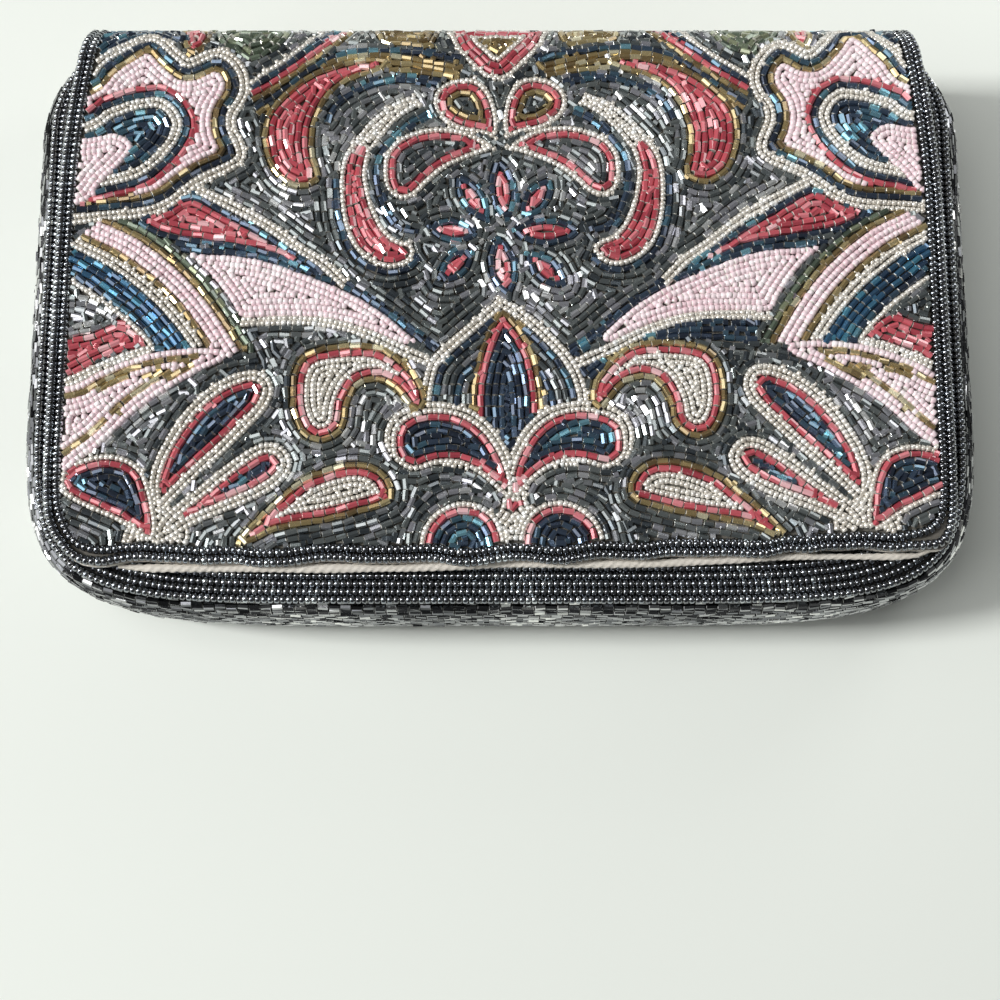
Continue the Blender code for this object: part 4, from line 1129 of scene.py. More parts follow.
def string(name, arrays, shape, material):
    """One piece of glass beads."""
    place, along, up, size = arrays
    count = len(place)
    across = math.ceil(math.sqrt(count))
    mesh = bpy.data.meshes.new(name + "_places")
    mesh.from_pydata((place / 1000).tolist(), [], [])
    order = np.arange(count)
    cell = np.column_stack((order % across, order // across, np.zeros(count))) / across
    patch = 0.5 + 0.5 * np.sin(0.11 * place[:, 0] + 2.0 * np.sin(0.09 * place[:, 1]))
    tint = np.clip(0.72 * dice.random(count) + 0.28 * patch, 0, 1)
    for title, values in (("along", along), ("up", up), ("size", size / 1000), ("cell", cell)):
        layer = mesh.attributes.new(title, "FLOAT_VECTOR", "POINT")
        layer.data.foreach_set("vector", values.astype(np.float32).ravel())
    mesh.attributes.new("tint", "FLOAT", "POINT").data.foreach_set("value", tint.astype(np.float32))
    obj = link(bpy.data.objects.new(name + "_places", mesh))
    modifier = obj.modifiers.new("beads", "NODES")
    modifier.node_group = string_beads
    modifier[socket(string_beads, "Bead")] = shape
    modifier[socket(string_beads, "Cell size")] = 1.0 / across
    modifier[socket(string_beads, "Finish")] = material
    piece = flatten(obj, name)
    for title in ("along", "up", "size", "cell"):
        if title in piece.data.attributes:
            piece.data.attributes.remove(piece.data.attributes[title])
    print(name, count, "beads,", len(piece.data.polygons), "faces")
    return piece

# %% [markdown]
# ## Finishes of glass
#
# No two beads have quite the same colour: the glass is dyed, lined with silver or given
# a rainbow coat in batches, and it wears. So one node group turns each bead's random tint
# into a colour between four, and every finish uses it with its own four colours. The
# palest of the four, the painted glint, is painted light: a share of the beads is given a
# pale colour as a painted highlight, for beads that catch the light, and the third colour
# is partly a painted highlight too. The gloss and the metal look stay in each material, on
# the shader's own sockets. The dark and the coloured glass is lined or coated with metal,
# so it is shaded mostly as metal under a clear coat, which gives each bead the small hard
# glint that it has in the photograph. Red, silver and pink glass has little metal or none.

# %% Colours
def colour(red, green, blue):
    """A colour as a screen shows it, 0 to 255, in the linear values that shaders use."""
    return tuple(((c / 255 + 0.055) / 1.055) ** 2.4 for c in (red, green, blue)) + (1.0,)


def new_group(name, inputs, outputs):
    """A shader node group with its sockets, its input node and its output node."""
    group = bpy.data.node_groups.new(name, "ShaderNodeTree")
    for direction, sockets in (("INPUT", inputs), ("OUTPUT", outputs)):
        for title, kind in sockets:
            group.interface.new_socket(name=title, in_out=direction, socket_type="NodeSocket" + kind)
    return group, group.nodes.new("NodeGroupInput"), group.nodes.new("NodeGroupOutput")


def ramp_between(group, value, low, high):
    """A value as a share, smoothly from 0 at low to 1 at high."""
    node = group.nodes.new("ShaderNodeMapRange")
    node.interpolation_type = "SMOOTHSTEP"
    node.inputs["From Min"].default_value = low
    node.inputs["From Max"].default_value = high
    group.links.new(value, node.inputs["Value"])
    return node.outputs["Result"]


def mix_colours(group, share, first, second):
    """A colour between two, by a share."""
    node = group.nodes.new("ShaderNodeMix")
    node.data_type = "RGBA"
    group.links.new(share, node.inputs["Factor"])
    group.links.new(first, node.inputs["A"])
    group.links.new(second, node.inputs["B"])
    return node.outputs["Result"]


def math_node(group, operation, first, second):
    """One sum on two values, each a number or a socket."""
    node = group.nodes.new("ShaderNodeMath")
    node.operation = operation
    for value, entry in ((first, node.inputs[0]), (second, node.inputs[1])):
        if isinstance(value, (int, float)):
            entry.default_value = value
        else:
            group.links.new(value, entry)
    return node.outputs[0]


def new_material(name):
    """A material, its node tree and its shader."""
    material = bpy.data.materials.new(name)
    material.use_nodes = True
    return material, material.node_tree, material.node_tree.nodes["Principled BSDF"]


print("a mid grey as shaders see it:", round(colour(128, 128, 128)[0], 3))

# %% The glass of a bead
# Deep, Body and Bright are each bead's own tone, Bright partly a painted highlight; the painted glint is a
# pale painted highlight for some beads
COLOURS = ("Deep", "Body", "Bright", "Painted glint")
glass_inputs = [(title, "Color") for title in COLOURS + ("Painted end glint",)] + [("Smooth", "Float")]
glass, entry, leave = new_group("bead_glass", glass_inputs, [("Color", "Color"), ("Roughness", "Float")])
tint = glass.nodes.new("ShaderNodeAttribute")
tint.attribute_name = "tint"
value = tint.outputs["Fac"]
mixed = entry.outputs["Deep"]
# Beads with a tint above about 0.8 take the painted glint, a painted highlight
for title, low, high in (("Body", 0.10, 0.50), ("Bright", 0.52, 0.80), ("Painted glint", 0.80, 0.93)):
    mixed = mix_colours(glass, ramp_between(glass, value, low, high), mixed, entry.outputs[title])
# The marked end rings take the painted end glint, a pale painted highlight
end_face = glass.nodes.new("ShaderNodeAttribute")
end_face.attribute_name = "cut"
at_end = ramp_between(glass, end_face.outputs["Fac"], 0.0, 0.8)
mixed = mix_colours(glass, at_end, mixed, entry.outputs["Painted end glint"])
speckle = glass.nodes.new("ShaderNodeTexNoise")
speckle.inputs["Scale"].default_value = 2400.0
place = glass.nodes.new("ShaderNodeTexCoord")
glass.links.new(place.outputs["Object"], speckle.inputs["Vector"])
dulled = ramp_between(glass, speckle.outputs["Fac"], 0.50, 0.75)
wear = math_node(glass, "MULTIPLY", dulled, 0.18)
glass.links.new(mixed, leave.inputs["Color"])
glass.links.new(math_node(glass, "ADD", entry.outputs["Smooth"], wear), leave.inputs["Roughness"])
print("nodes in the glass group:", len(glass.nodes))


# %% One material for each finish
def bead_material(name, colours, metallic, smooth, coat, density, ends):
    """A finish of glass: four colours, the palest a painted glint, metal look, roughness, coat, the coat's
    density and the painted end glint.
    """
    material, tree, shader = new_material(name)
    node = tree.nodes.new("ShaderNodeGroup")
    node.node_tree = glass
    for title, values in zip(COLOURS + ("Painted end glint",), colours + (ends,)):
        node.inputs[title].default_value = colour(*values)
    node.inputs["Smooth"].default_value = smooth
    shader.inputs["Metallic"].default_value = metallic
    shader.inputs["Coat Weight"].default_value = coat
    shader.inputs["Coat Roughness"].default_value = 0.08
    shader.inputs["Coat IOR"].default_value = density
    tree.links.new(node.outputs["Color"], shader.inputs["Base Color"])
    tree.links.new(node.outputs["Roughness"], shader.inputs["Roughness"])
    return material


# Painted highlights for the beads' ends: pale on the glass, grey on the rims and the steel
PALE_END_GLINT, DARK_END_GLINT = (214, 212, 204), (128, 128, 126)
# A finish's deep, body, bright and painted glint colours, the last a painted highlight, then metal,
# roughness, coat and coat density.
# The rims are gunmetal, and steel is the coated glass of the gusset and the front panel.
GLASS = {
    "dark": (((76, 84, 90), (134, 141, 140), (189, 189, 197), (240, 242, 240)), 0.75, 0.20, 0.7, 1.7),
    "navy": (((56, 66, 84), (82, 99, 122), (92, 130, 150), (152, 214, 232)), 0.75, 0.20, 0.6, 1.7),
    "blue": (((58, 82, 110), (76, 122, 158), (98, 166, 194), (162, 224, 238)), 0.70, 0.20, 0.6, 1.7),
    "gold": (((138, 116, 80), (180, 158, 110), (216, 198, 148), (248, 240, 204)), 0.70, 0.22, 0.6, 1.7),
    "green": (((88, 100, 86), (126, 140, 120), (158, 164, 132), (156, 144, 156)), 0.55, 0.22, 0.7, 1.7),
    "red": (((164, 62, 74), (204, 92, 102), (226, 138, 145), (246, 198, 201)), 0.15, 0.16, 1.0, 1.8),
    "silver": (((218, 210, 197), (234, 228, 217), (246, 241, 233), (252, 252, 248)), 0.30, 0.18, 1.0, 1.8),
    "pink": (((233, 203, 209), (241, 219, 224), (246, 228, 231), (252, 241, 243)), 0.00, 0.36, 0.3, 1.5),
    "rim": (((62, 66, 76), (92, 99, 110), (136, 144, 154), (200, 207, 212)), 1.00, 0.13, 1.0, 2.2),
    "steel": (((50, 52, 56), (108, 110, 114), (190, 191, 192), (246, 246, 243)), 1.00, 0.10, 0.6, 1.8),
}
finish_of = {}
for name, values in GLASS.items():
    ends = DARK_END_GLINT if name in ("rim", "steel") else PALE_END_GLINT
    finish_of[name] = bead_material("glass_" + name, *values, ends)
print("glass finishes:", sorted(finish_of))

# %% [markdown]
# ## Cloth, board and metal
#
# Under the beads is a plain woven ground cloth. It is painted grey-beige under the pattern
# and dark under the steel beads, darker than the cloth is, as painted shade for the gaps
# between the beads, which read dark. The inside is lined
# with cream satin, the walls are stiff fibre board, and the snap is nickel. The weave is one node
# group, fed with the piece's own UV map in millimetres, so it bends with the cloth at
# the folds.

# %% The weave
weave, entry, leave = new_group("weave", [("Light", "Color"), ("Shade", "Color"), ("Threads", "Float"),
                                          ("Slub", "Float")], [("Color", "Color"), ("Height", "Float")])
cloth_map = weave.nodes.new("ShaderNodeUVMap")
cloth_map.uv_map = "cloth"
threads = []
for axis in ("X", "Y"):
    wave = weave.nodes.new("ShaderNodeTexWave")
    wave.bands_direction = axis
    wave.inputs["Distortion"].default_value = 0.6
    weave.links.new(cloth_map.outputs["UV"], wave.inputs["Vector"])
    weave.links.new(entry.outputs["Threads"], wave.inputs["Scale"])
    threads.append(wave.outputs["Fac"])
slub = weave.nodes.new("ShaderNodeTexNoise")
slub.inputs["Scale"].default_value = 0.35
slub.inputs["Detail"].default_value = 4.0
weave.links.new(cloth_map.outputs["UV"], slub.inputs["Vector"])
crossed = math_node(weave, "MULTIPLY", threads[0], threads[1])
uneven = math_node(weave, "MULTIPLY", slub.outputs["Fac"], entry.outputs["Slub"])
height = math_node(weave, "ADD", math_node(weave, "MULTIPLY", crossed, 0.5), uneven)
woven = mix_colours(weave, height, entry.outputs["Shade"], entry.outputs["Light"])
weave.links.new(woven, leave.inputs["Color"])
weave.links.new(height, leave.inputs["Height"])
print("nodes in the weave group:", len(weave.nodes))


# %% Cloth, board and metal finishes
def cloth_material(name, light, shade, count, slubs, rough, sheen, depth, plain=False):
    """A woven cloth. A plain one keeps one colour, and the weave shows in its bump alone."""
    material, tree, shader = new_material(name)
    node = tree.nodes.new("ShaderNodeGroup")
    node.node_tree = weave
    node.inputs["Light"].default_value = colour(*light)
    node.inputs["Shade"].default_value = colour(*shade)
    node.inputs["Threads"].default_value = count
    node.inputs["Slub"].default_value = slubs
    bump = tree.nodes.new("ShaderNodeBump")
    bump.inputs["Distance"].default_value = depth
    tree.links.new(node.outputs["Height"], bump.inputs["Height"])
    tree.links.new(bump.outputs["Normal"], shader.inputs["Normal"])
    if plain:
        shader.inputs["Base Color"].default_value = colour(*light)
    else:
        tree.links.new(node.outputs["Color"], shader.inputs["Base Color"])
    shader.inputs["Roughness"].default_value = rough
    shader.inputs["Sheen Weight"].default_value = sheen
    shader.inputs["Sheen Roughness"].default_value = 0.35
    return material


def noisy_material(name, light, shade, scale, stretch, metallic, rough, depth):
    """Fibre board and brushed nickel: a stretched noise in roughness and bump, and the metal's colour."""
    material, tree, shader = new_material(name)
    place = tree.nodes.new("ShaderNodeTexCoord")
    squeeze = tree.nodes.new("ShaderNodeMapping")
    squeeze.inputs["Scale"].default_value = stretch
    noise = tree.nodes.new("ShaderNodeTexNoise")
    noise.inputs["Scale"].default_value = scale
    noise.inputs["Detail"].default_value = 5.0
    spread = tree.nodes.new("ShaderNodeMapRange")
    spread.inputs["To Min"].default_value, spread.inputs["To Max"].default_value = rough, rough + 0.2
    bump = tree.nodes.new("ShaderNodeBump")
    bump.inputs["Distance"].default_value = depth
    tree.links.new(place.outputs["Object"], squeeze.inputs["Vector"])
    tree.links.new(squeeze.outputs["Vector"], noise.inputs["Vector"])
    for entry_socket in (spread.inputs["Value"], bump.inputs["Height"]):
        tree.links.new(noise.outputs["Fac"], entry_socket)
    shader.inputs["Base Color"].default_value = colour(*light)
    if metallic > 0:
        ramp = tree.nodes.new("ShaderNodeValToRGB")
        ramp.color_ramp.elements[0].color = colour(*shade)
        ramp.color_ramp.elements[1].color = colour(*light)
        ramp.color_ramp.elements[0].position, ramp.color_ramp.elements[1].position = 0.35, 0.65
        tree.links.new(noise.outputs["Fac"], ramp.inputs["Fac"])
        tree.links.new(ramp.outputs["Color"], shader.inputs["Base Color"])
    tree.links.new(spread.outputs["Result"], shader.inputs["Roughness"])
    tree.links.new(bump.outputs["Normal"], shader.inputs["Normal"])
    shader.inputs["Metallic"].default_value = metallic
    return material


# A cloth's thread count, slubs, roughness, sheen and depth of weave in metres
PLAIN_WEAVE, SATIN_WEAVE = (2.2, 0.5, 0.85, 0.2, 0.00015), (3.2, 0.7, 0.42, 0.35, 0.00008)
# Both ground cloths are painted darker than the cloth is, as painted shade in the gaps between the beads, the
# one under the steel beads most
ground_cloth = cloth_material("ground_cloth", (112, 108, 100), (84, 80, 74), *PLAIN_WEAVE, True)
painted_shade_cloth = cloth_material("shade_painted_ground_cloth", (66, 64, 62), (48, 46, 45), *PLAIN_WEAVE, True)
satin = cloth_material("satin", (246, 240, 230), (222, 214, 200), *SATIN_WEAVE)
# A noise's scale and stretch, then metal, roughness and depth in metres
FIBRE, BRUSHED = (900.0, (1, 1, 4), 0.0, 0.75, 0.0001), (1500.0, (1, 6, 1), 1.0, 0.22, 0.00002)
board_fibre = noisy_material("board_fibre", (190, 172, 140), (150, 130, 98), *FIBRE)
nickel = noisy_material("nickel", (214, 212, 206), (176, 174, 168), *BRUSHED)
for name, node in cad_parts.items():
    if name.endswith("_board"):
        node.material_slots[0].material = board_fibre
    if name.startswith("snap_"):
        node.material_slots[0].material = nickel
print("boards and snap pieces are painted")

# %% [markdown]
# ## Bead pieces
#
# The beads become one piece for each finish on each part of the bag. The flap's beads
# and half of the spine's are one set, the back's and the other half another, because a
# piece can bend across only one fold.

# %% A piece's place, baked into its mesh
def across_fold(piece, upper):
    """Bake a piece's place into its mesh, the same way for either fold."""
    if upper:
        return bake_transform(piece)
    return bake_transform(piece)


# %% The patterned pieces
# How much a bead's place, direction, roll and size vary: seeds are looser than bugles
LIFT = 0.10
SEED_PLAY, BUGLE_PLAY = (0.14, math.pi, 0.05), (0.07, 0.5, 0.03)


def sheet_arrays(sheet, code, length_of, angle_sign):
    """Places, directions and sizes of a sheet's beads of one finish, and their lengths S."""
    rows = np.array([bead for bead in sheet.beads if bead[3] == code])
    x, s, angle, share = rows[:, 0], length_of(rows[:, 1]), rows[:, 2] * angle_sign, rows[:, 4]
    kind = SIZES[FINISHES[code]]
    length, width = kind[2:]
    lean, roll, variety = BUGLE_PLAY if kind is BUGLE else SEED_PLAY
    place, along, up = place_on_wrap(x, s, angle, BEAD_LAYER / 2)
    place, along, up = jitter(place, along, up, LIFT, lean, roll)
    spread = dice.normal(1.0, variety, len(rows))
    size = np.column_stack((length * share * spread, width * spread, width * spread))
    return (place, along, up, size), s


for code, finish in enumerate(FINISHES):
    shape = bugle_shape if SIZES[finish] is BUGLE else short_shape
    turned, s = sheet_arrays(back_sheet, code, lambda v: 2 * TURN - v, -1)
    front_face = sheet_arrays(flap_sheet, code, lambda v: v, 1)[0]
    upper = s < SPINE_MIDDLE
    on_flap_arrays = [np.vstack((a, b[upper])) for a, b in zip(front_face, turned)]
    on_back_arrays = [a[~upper] for a in turned]
    piece = string("flap_" + finish, on_flap_arrays, shape, finish_of[finish])
    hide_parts("flap_beads", "spine_beads")
    across_fold(piece, True)
    piece = string("back_" + finish, on_back_arrays, shape, finish_of[finish])
    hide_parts("back_beads", "spine_beads")
    across_fold(piece, False)

# %% The rims, the gusset and the front panel
SPINE_RIMS = ("spine_edging_left", "spine_edging_right")
for name, beads, nodes in (("flap_edge_beads", flap_rim, ("flap_edging",) + SPINE_RIMS),
                           ("back_edge_beads", back_rim, ("back_edging",) + SPINE_RIMS),
                           ("front_edge_beads", front_rim, ("front_edging",))):
    piece = string(name, beads.arrays(), seed_shape, finish_of["rim"])
    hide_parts(*nodes)
    if name == "front_edge_beads":
        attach(piece, "pouch")
    else:
        across_fold(piece, name == "flap_edge_beads")

for name, beads, node, shape in (("gusset_bugles", gusset, "gusset_beads", bugle_shape),
                                 ("front_bugles", front, "front_beads", plain_shape)):
    piece = string(name, beads.arrays(), shape, finish_of["steel"])
    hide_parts(node)
    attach(piece, "pouch")

# %% [markdown]
# ## Ground cloth and lining
#
# Each cloth is a closed thin sheet between two grids of points. The grid's columns run
# from the rounded edge up over the fold, so the sheet follows the outline exactly, and
# the rows lie closer where it bends. A UV map in millimetres carries the weave. On the
# real bag each cloth is cut flat and then stretched over a board. A table gives what each
# cloth lies on, and for the cloths in it the flat size is printed.

# %% Flat sizes of the cloths
LIES_ON = {
    "flap_ground_cloth": ["flap_board", "spine_board"], "flap_satin": ["flap_board", "spine_board"],
    "back_ground_cloth": ["back_board", "spine_board"], "back_satin": ["back_board", "spine_board"],
    "front_ground_cloth": ["front_board"], "front_satin": ["front_board"],
    "gusset_ground_cloth": ["back_ground_cloth", "front_ground_cloth"],
    "gusset_satin": ["gusset_ground_cloth"],
    "pocket_satin": ["back_satin"],
}


def declare_sheet(piece, flat):
    """Print the size and area a cloth was cut to, worked out from its flat pattern."""
    b, c = flat[1:, 1:] - flat[:-1, :-1], flat[1:, :-1] - flat[:-1, 1:]
    area = float(np.abs(b[..., 0] * c[..., 1] - b[..., 1] * c[..., 0]).sum()) / 2e6
    width, length = [float(size) for size in np.ptp(flat.reshape(-1, 2), axis=0) / 1000]
    # The sum over the cells may come out a hair above the full rectangle
    area = min(area, 1.0009 * width * length)
    print(f"{piece.name}: cut from {1000 * width:.0f} x {1000 * length:.0f} mm, {1e4 * area:.0f} cm2")


print("cloths to declare:", len(LIES_ON))


# %% A thin sheet
def sheet_piece(name, outer, inner, flat, material, nodes):
    """A closed thin sheet between two grids of points in millimetres."""
    rows, columns = outer.shape[:2]
    bm = bmesh.new()
    uv = bm.loops.layers.uv.new("cloth")
    grids = [[[bm.verts.new(grid[i, j] / 1000) for j in range(columns)] for i in range(rows)]
             for grid in (outer, inner)]
    texture = {}
    for grid in grids:
        for i in range(rows):
            for j in range(columns):
                texture[grid[i][j]] = flat[i, j]

    def face(*corners):
        """A smooth face with its corners on the cloth's flat pattern."""
        made = bm.faces.new(corners)
        made.smooth = True
        for loop in made.loops:
            loop[uv].uv = texture[loop.vert]

    for i in range(rows - 1):
        for j in range(columns - 1):
            for grid in grids:
                face(grid[i][j], grid[i][j + 1], grid[i + 1][j + 1], grid[i + 1][j])
    top, low = grids
    for i in range(rows - 1):
        for j in (0, columns - 1):
            face(top[i][j], top[i + 1][j], low[i + 1][j], low[i][j])
    for j in range(columns - 1):
        for i in (0, rows - 1):
            face(top[i][j], top[i][j + 1], low[i][j + 1], low[i][j])
    bmesh.ops.remove_doubles(bm, verts=bm.verts, dist=1e-6)
    bmesh.ops.dissolve_degenerate(bm, dist=1e-7, edges=bm.edges)
    bmesh.ops.recalc_face_normals(bm, faces=bm.faces)
    piece = link(finished(bm, name))
    piece.data.materials.append(material)
    if nodes:
        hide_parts(*nodes)
    if name in LIES_ON:
        declare_sheet(piece, flat)
    return piece


# %% Grids over the wrap
# A grid's rows across the rounded bottom, and their steps on the flat and over a fold
FOOT_ROWS, FLAT_STEP, BEND_STEP = 14, 6.0, 1.2


def columns_of(half, squareness):
    """The X of a grid's columns, closer together where the outline turns."""
    return superellipse(half, 1.0, squareness)[0][::-1]


def straight_row(x, half, s, inset):
    """One row of a grid, as wide as the wrap is at a length s."""
    return np.column_stack((x / half * float(wrap_half(s, inset)), np.full(len(x), s)))


def flap_grid(inset):
    """X and S of a grid over the flap and the upper half of the spine."""
    half = FLAP_HALF - inset
    x = columns_of(half, FLAP_SQUARE)
    edge = -FLAP_BOTTOM - bottom_drop(x, half, -FLAP_BOTTOM - inset, FLAP_SQUARE)
    rows = [np.column_stack((x, edge + (-FLAP_BOTTOM - edge) * t)) for t in np.linspace(0, 1, FOOT_ROWS)]
    straight = list(np.arange(-FLAP_BOTTOM + FLAT_STEP, FLAT_END - 1, FLAT_STEP))
    bends = list(np.arange(FLAT_END, SPINE_START, BEND_STEP))
    spine = [SPINE_START, (SPINE_START + SPINE_MIDDLE) / 2, SPINE_MIDDLE]
    rows += [straight_row(x, half, s, inset) for s in straight + bends + spine]
    grid = np.array(rows)
    grid[..., 1] = puckered(grid[..., 0], grid[..., 1])
    return grid


def back_grid(inset):
    """X and S of a grid from the middle of the spine down to the back's rounded bottom."""
    half = POUCH_HALF - inset
    x = columns_of(half, POUCH_SQUARE)
    shoulder = BACK_START + BACK_TOP - POUCH_SHOULDER
    edge = bottom_drop(x, half, POUCH_SHOULDER - POUCH_BOTTOM - inset, POUCH_SQUARE)
    spine = [SPINE_MIDDLE, (SPINE_MIDDLE + SPINE_END) / 2]
    bends = list(np.arange(SPINE_END, BACK_START, BEND_STEP)) + [BACK_START]
    straight = list(np.arange(BACK_START + 5, shoulder - 3, 5.0))
    rows = [straight_row(x, half, s, inset) for s in spine + bends + straight]
    rows += [np.column_stack((x, shoulder + edge * t)) for t in np.linspace(0, 1, FOOT_ROWS)]
    return np.array(rows)


def on_wrap_grid(grid, depth):
    """The padding lifts the ground cloth, which lies over the board, and not the lining."""
    shape = grid.shape[:2]
    x, s = grid[..., 0].ravel(), grid[..., 1].ravel()
    y, z = wrap(s, depth - (puff(x, s) if depth < LINING_DEPTH else 0))[:2]
    return np.column_stack((x, y, z)).reshape(shape + (3,))


# %% Cloth and lining of the wrap
# The cloth starts a little above its own depth, so that it closes the gaps between beads,
# and every cloth stops just short of the bag's outline
UNDER_BEADS, HEM = 1.45, 0.4
CLOTH_LAYER, LINING_LAYER = (UNDER_BEADS, CLOTH_DEPTH + CLOTH), (LINING_DEPTH, WALL)


def wrap_sheet(name, grid, layer, material, nodes, upper):
    """A cloth of the wrap between two depths."""
    outer, inner = [on_wrap_grid(grid, depth) for depth in layer]
    piece = sheet_piece(name, outer, inner, grid, material, nodes)
    return across_fold(piece, upper)


wrap_sheet("flap_ground_cloth", flap_grid(HEM), CLOTH_LAYER, ground_cloth,
           ("flap_cloth", "spine_cloth"), True)
wrap_sheet("back_ground_cloth", back_grid(HEM), CLOTH_LAYER, ground_cloth,
           ("back_cloth", "spine_cloth"), False)
wrap_sheet("flap_satin", flap_grid(HEM), LINING_LAYER, satin,
           ("flap_lining", "spine_lining"), True)
wrap_sheet("back_satin", back_grid(HEM), LINING_LAYER, satin,
           ("back_lining", "spine_lining"), False)
print("cloth and lining of the wrap are made")


# %% Bands that close the edges
# The lining is turned outwards over the boards' edges, so a narrow band of satin shows there
BAND_OUTSIDE, BAND_INSIDE = 0.25, 0.75
BAND_TOP, BAND_BOTTOM = CLOTH_DEPTH + CLOTH - 0.2, LINING_DEPTH + 0.2


def edge_band(name, path, upper):
    """A narrow upright strip of satin along the edge of the wrap."""
    rows = []
    for inset in (BAND_OUTSIDE, BAND_INSIDE):
        points = path(inset)
        for depth in (BAND_TOP, BAND_BOTTOM):
            y, z = wrap(points[:, 1], depth)[:2]
            rows.append(np.column_stack((points[:, 0], y, z)))
    outer, inner = np.array(rows[:2]), np.array(rows[2:])
    length = path_length(path(BAND_OUTSIDE))
    flat = np.array([np.column_stack((length, np.full(len(length), depth)))
                     for depth in (BAND_TOP, BAND_BOTTOM)])
    piece = sheet_piece(name, outer, inner, flat, satin, ())
    return across_fold(piece, upper)


def spine_end(inset, side):
    """X and S of the line along one end of the spine's lower half."""
    s = np.arange(SPINE_MIDDLE, BACK_START + 3, 0.8)
    return np.column_stack((side * wrap_half(s, inset), s))


edge_band("flap_satin_edge", flap_edge, True)
edge_band("spine_satin_end_left", lambda inset: spine_end(inset, -1), False)
edge_band("spine_satin_end_right", lambda inset: spine_end(inset, 1), False)
print("satin edges are made")


# %% Front wall
def pouch_grid(inset):
    """X and Y of a grid over the front wall, from its mouth to its bottom."""
    half = POUCH_HALF - inset
    x = columns_of(half, POUCH_SQUARE)
    edge = bottom_drop(x, half, POUCH_SHOULDER - POUCH_BOTTOM - inset, POUCH_SQUARE)
    rows = [np.column_stack((x / half * (pouch_side(y) - inset), np.full(len(x), y)))
            for y in np.arange(POUCH_MOUTH, POUCH_SHOULDER + 3, -5.0)]
    rows += [np.column_stack((x, POUCH_SHOULDER - edge * t)) for t in np.linspace(0, 1, FOOT_ROWS)]
    return np.array(rows)


def level(grid, z):
    """A flat grid at a height."""
    return np.concatenate((grid, np.full(grid.shape[:2] + (1,), z)), axis=2)


# The gusset's cloth runs between these heights, and the front's cloth starts at the upper one
CLOTH_LOW, CLOTH_HIGH = 2.7, 30.9
for name, top, bottom, material, node, slot in (
        ("front_ground_cloth", POUCH_DEPTH - UNDER_BEADS, CLOTH_HIGH, painted_shade_cloth, "front_cloth",
         "ground_cloth"),
        ("front_satin", POUCH_DEPTH - LINING_DEPTH, POUCH_DEPTH - WALL, satin, "front_lining", "satin")):
    grid = pouch_grid(HEM)
    outer, inner = level(grid, top), level(grid, bottom)
    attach(sheet_piece(name, outer, inner, grid, material, (node,)), "pouch")

# The lining is turned over the front board's upper edge
MOUTH_STAND, MOUTH_THICK, MOUTH_INSET = 0.35, 0.4, 0.5
half = float(pouch_side(POUCH_MOUTH)) - MOUTH_INSET
mouth = np.array([[[side * half, POUCH_MOUTH + MOUTH_STAND, z] for side in np.linspace(-1, 1, 40)]
                  for z in (POUCH_DEPTH - UNDER_BEADS - 0.1, POUCH_DEPTH - WALL)])
inner = mouth - [0, MOUTH_THICK, 0]
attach(sheet_piece("front_satin_mouth", mouth, inner, mouth[..., ::2], satin, ()), "pouch")
print("front wall is made")


# %% Gusset's cloth and lining
def gusset_grid(depth, low, high, rows=16):
    """A grid round the gusset at a depth below its beads, between two heights."""
    rings = []
    for z in np.linspace(low, high, rows):
        line = pouch_edge(depth - float(gusset_bulge(z)))
        rings.append(np.column_stack((line, np.full(len(line), z))))
    return np.array(rings)


ring_length = path_length(pouch_edge(0))
for name, depths, low, high, material, node, slot in (
        ("gusset_ground_cloth", (UNDER_BEADS, CLOTH_DEPTH + CLOTH), CLOTH_LOW, CLOTH_HIGH, painted_shade_cloth,
         "gusset_cloth", "ground_cloth"),
        ("gusset_satin", (CLOTH_DEPTH + CLOTH, CLOTH_DEPTH + CLOTH + GAP + LINING), WALL,
         POUCH_DEPTH - WALL, satin, "gusset_lining", "satin")):
    outer, inner = [gusset_grid(depth, low, high) for depth in depths]
    flat = np.stack((np.tile(ring_length, (len(outer), 1)), outer[..., 2]), axis=2)
    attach(sheet_piece(name, outer, inner, flat, material, (node,)), "pouch")
print("length of the gusset:", round(float(ring_length[-1])), "mm")

# %% [markdown]
# ## Slip pocket
#
# The small inner pocket is a patch of the same satin, hemmed at its mouth, sewn to the
# back lining on three sides. It stands a little open, most at its mouth, which a
# formula over the patch gives.

# %% Slip pocket
POCKET_HALF, POCKET_LOW, POCKET_HIGH, POCKET_RISE = 55.0, -30.0, 40.0, 1.3
POCKET_FOOT, POCKET_THICK = 0.55, 0.45


def pocket_rise(u, v):
    """How far the pocket stands off the lining, across it (-1 to 1) and up it (0 to 1)."""
    return POCKET_RISE * ((1 - u ** 8) * (1 - (1 - v) ** 10)) * (0.35 + 0.65 * v ** 2)


u, v = np.meshgrid(np.linspace(-1, 1, 41), np.linspace(0, 1, 29))
pocket_top = np.stack((POCKET_HALF * u, POCKET_LOW + (POCKET_HIGH - POCKET_LOW) * v,
                       WALL + POCKET_FOOT + pocket_rise(u, v)), axis=2)
pocket_low = pocket_top - [0, 0, POCKET_THICK]
pocket = sheet_piece("pocket_satin", pocket_top, pocket_low, pocket_top[..., :2], satin,
                     ("slip_pocket",))
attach(pocket, "pouch")

# %% [markdown]
# ## Rolled edge
#
# Below the flap's border a thin roll of satin shows. It is a tube along the edge, and
# the cloth is twisted into slanting ribs as it is rolled, which a sine wave gives. A
# slower wave makes it thicker and thinner, as a hand-rolled hem is.

# %% The roll's line and thickness
ROLL_RADIUS, ROLL_SIDES, ROLL_RIB, ROLL_STEP = 1.05, 18, 1.9, 0.4
RIB_DEPTH, ROLL_UNEVENNESS = 0.13, 0.14
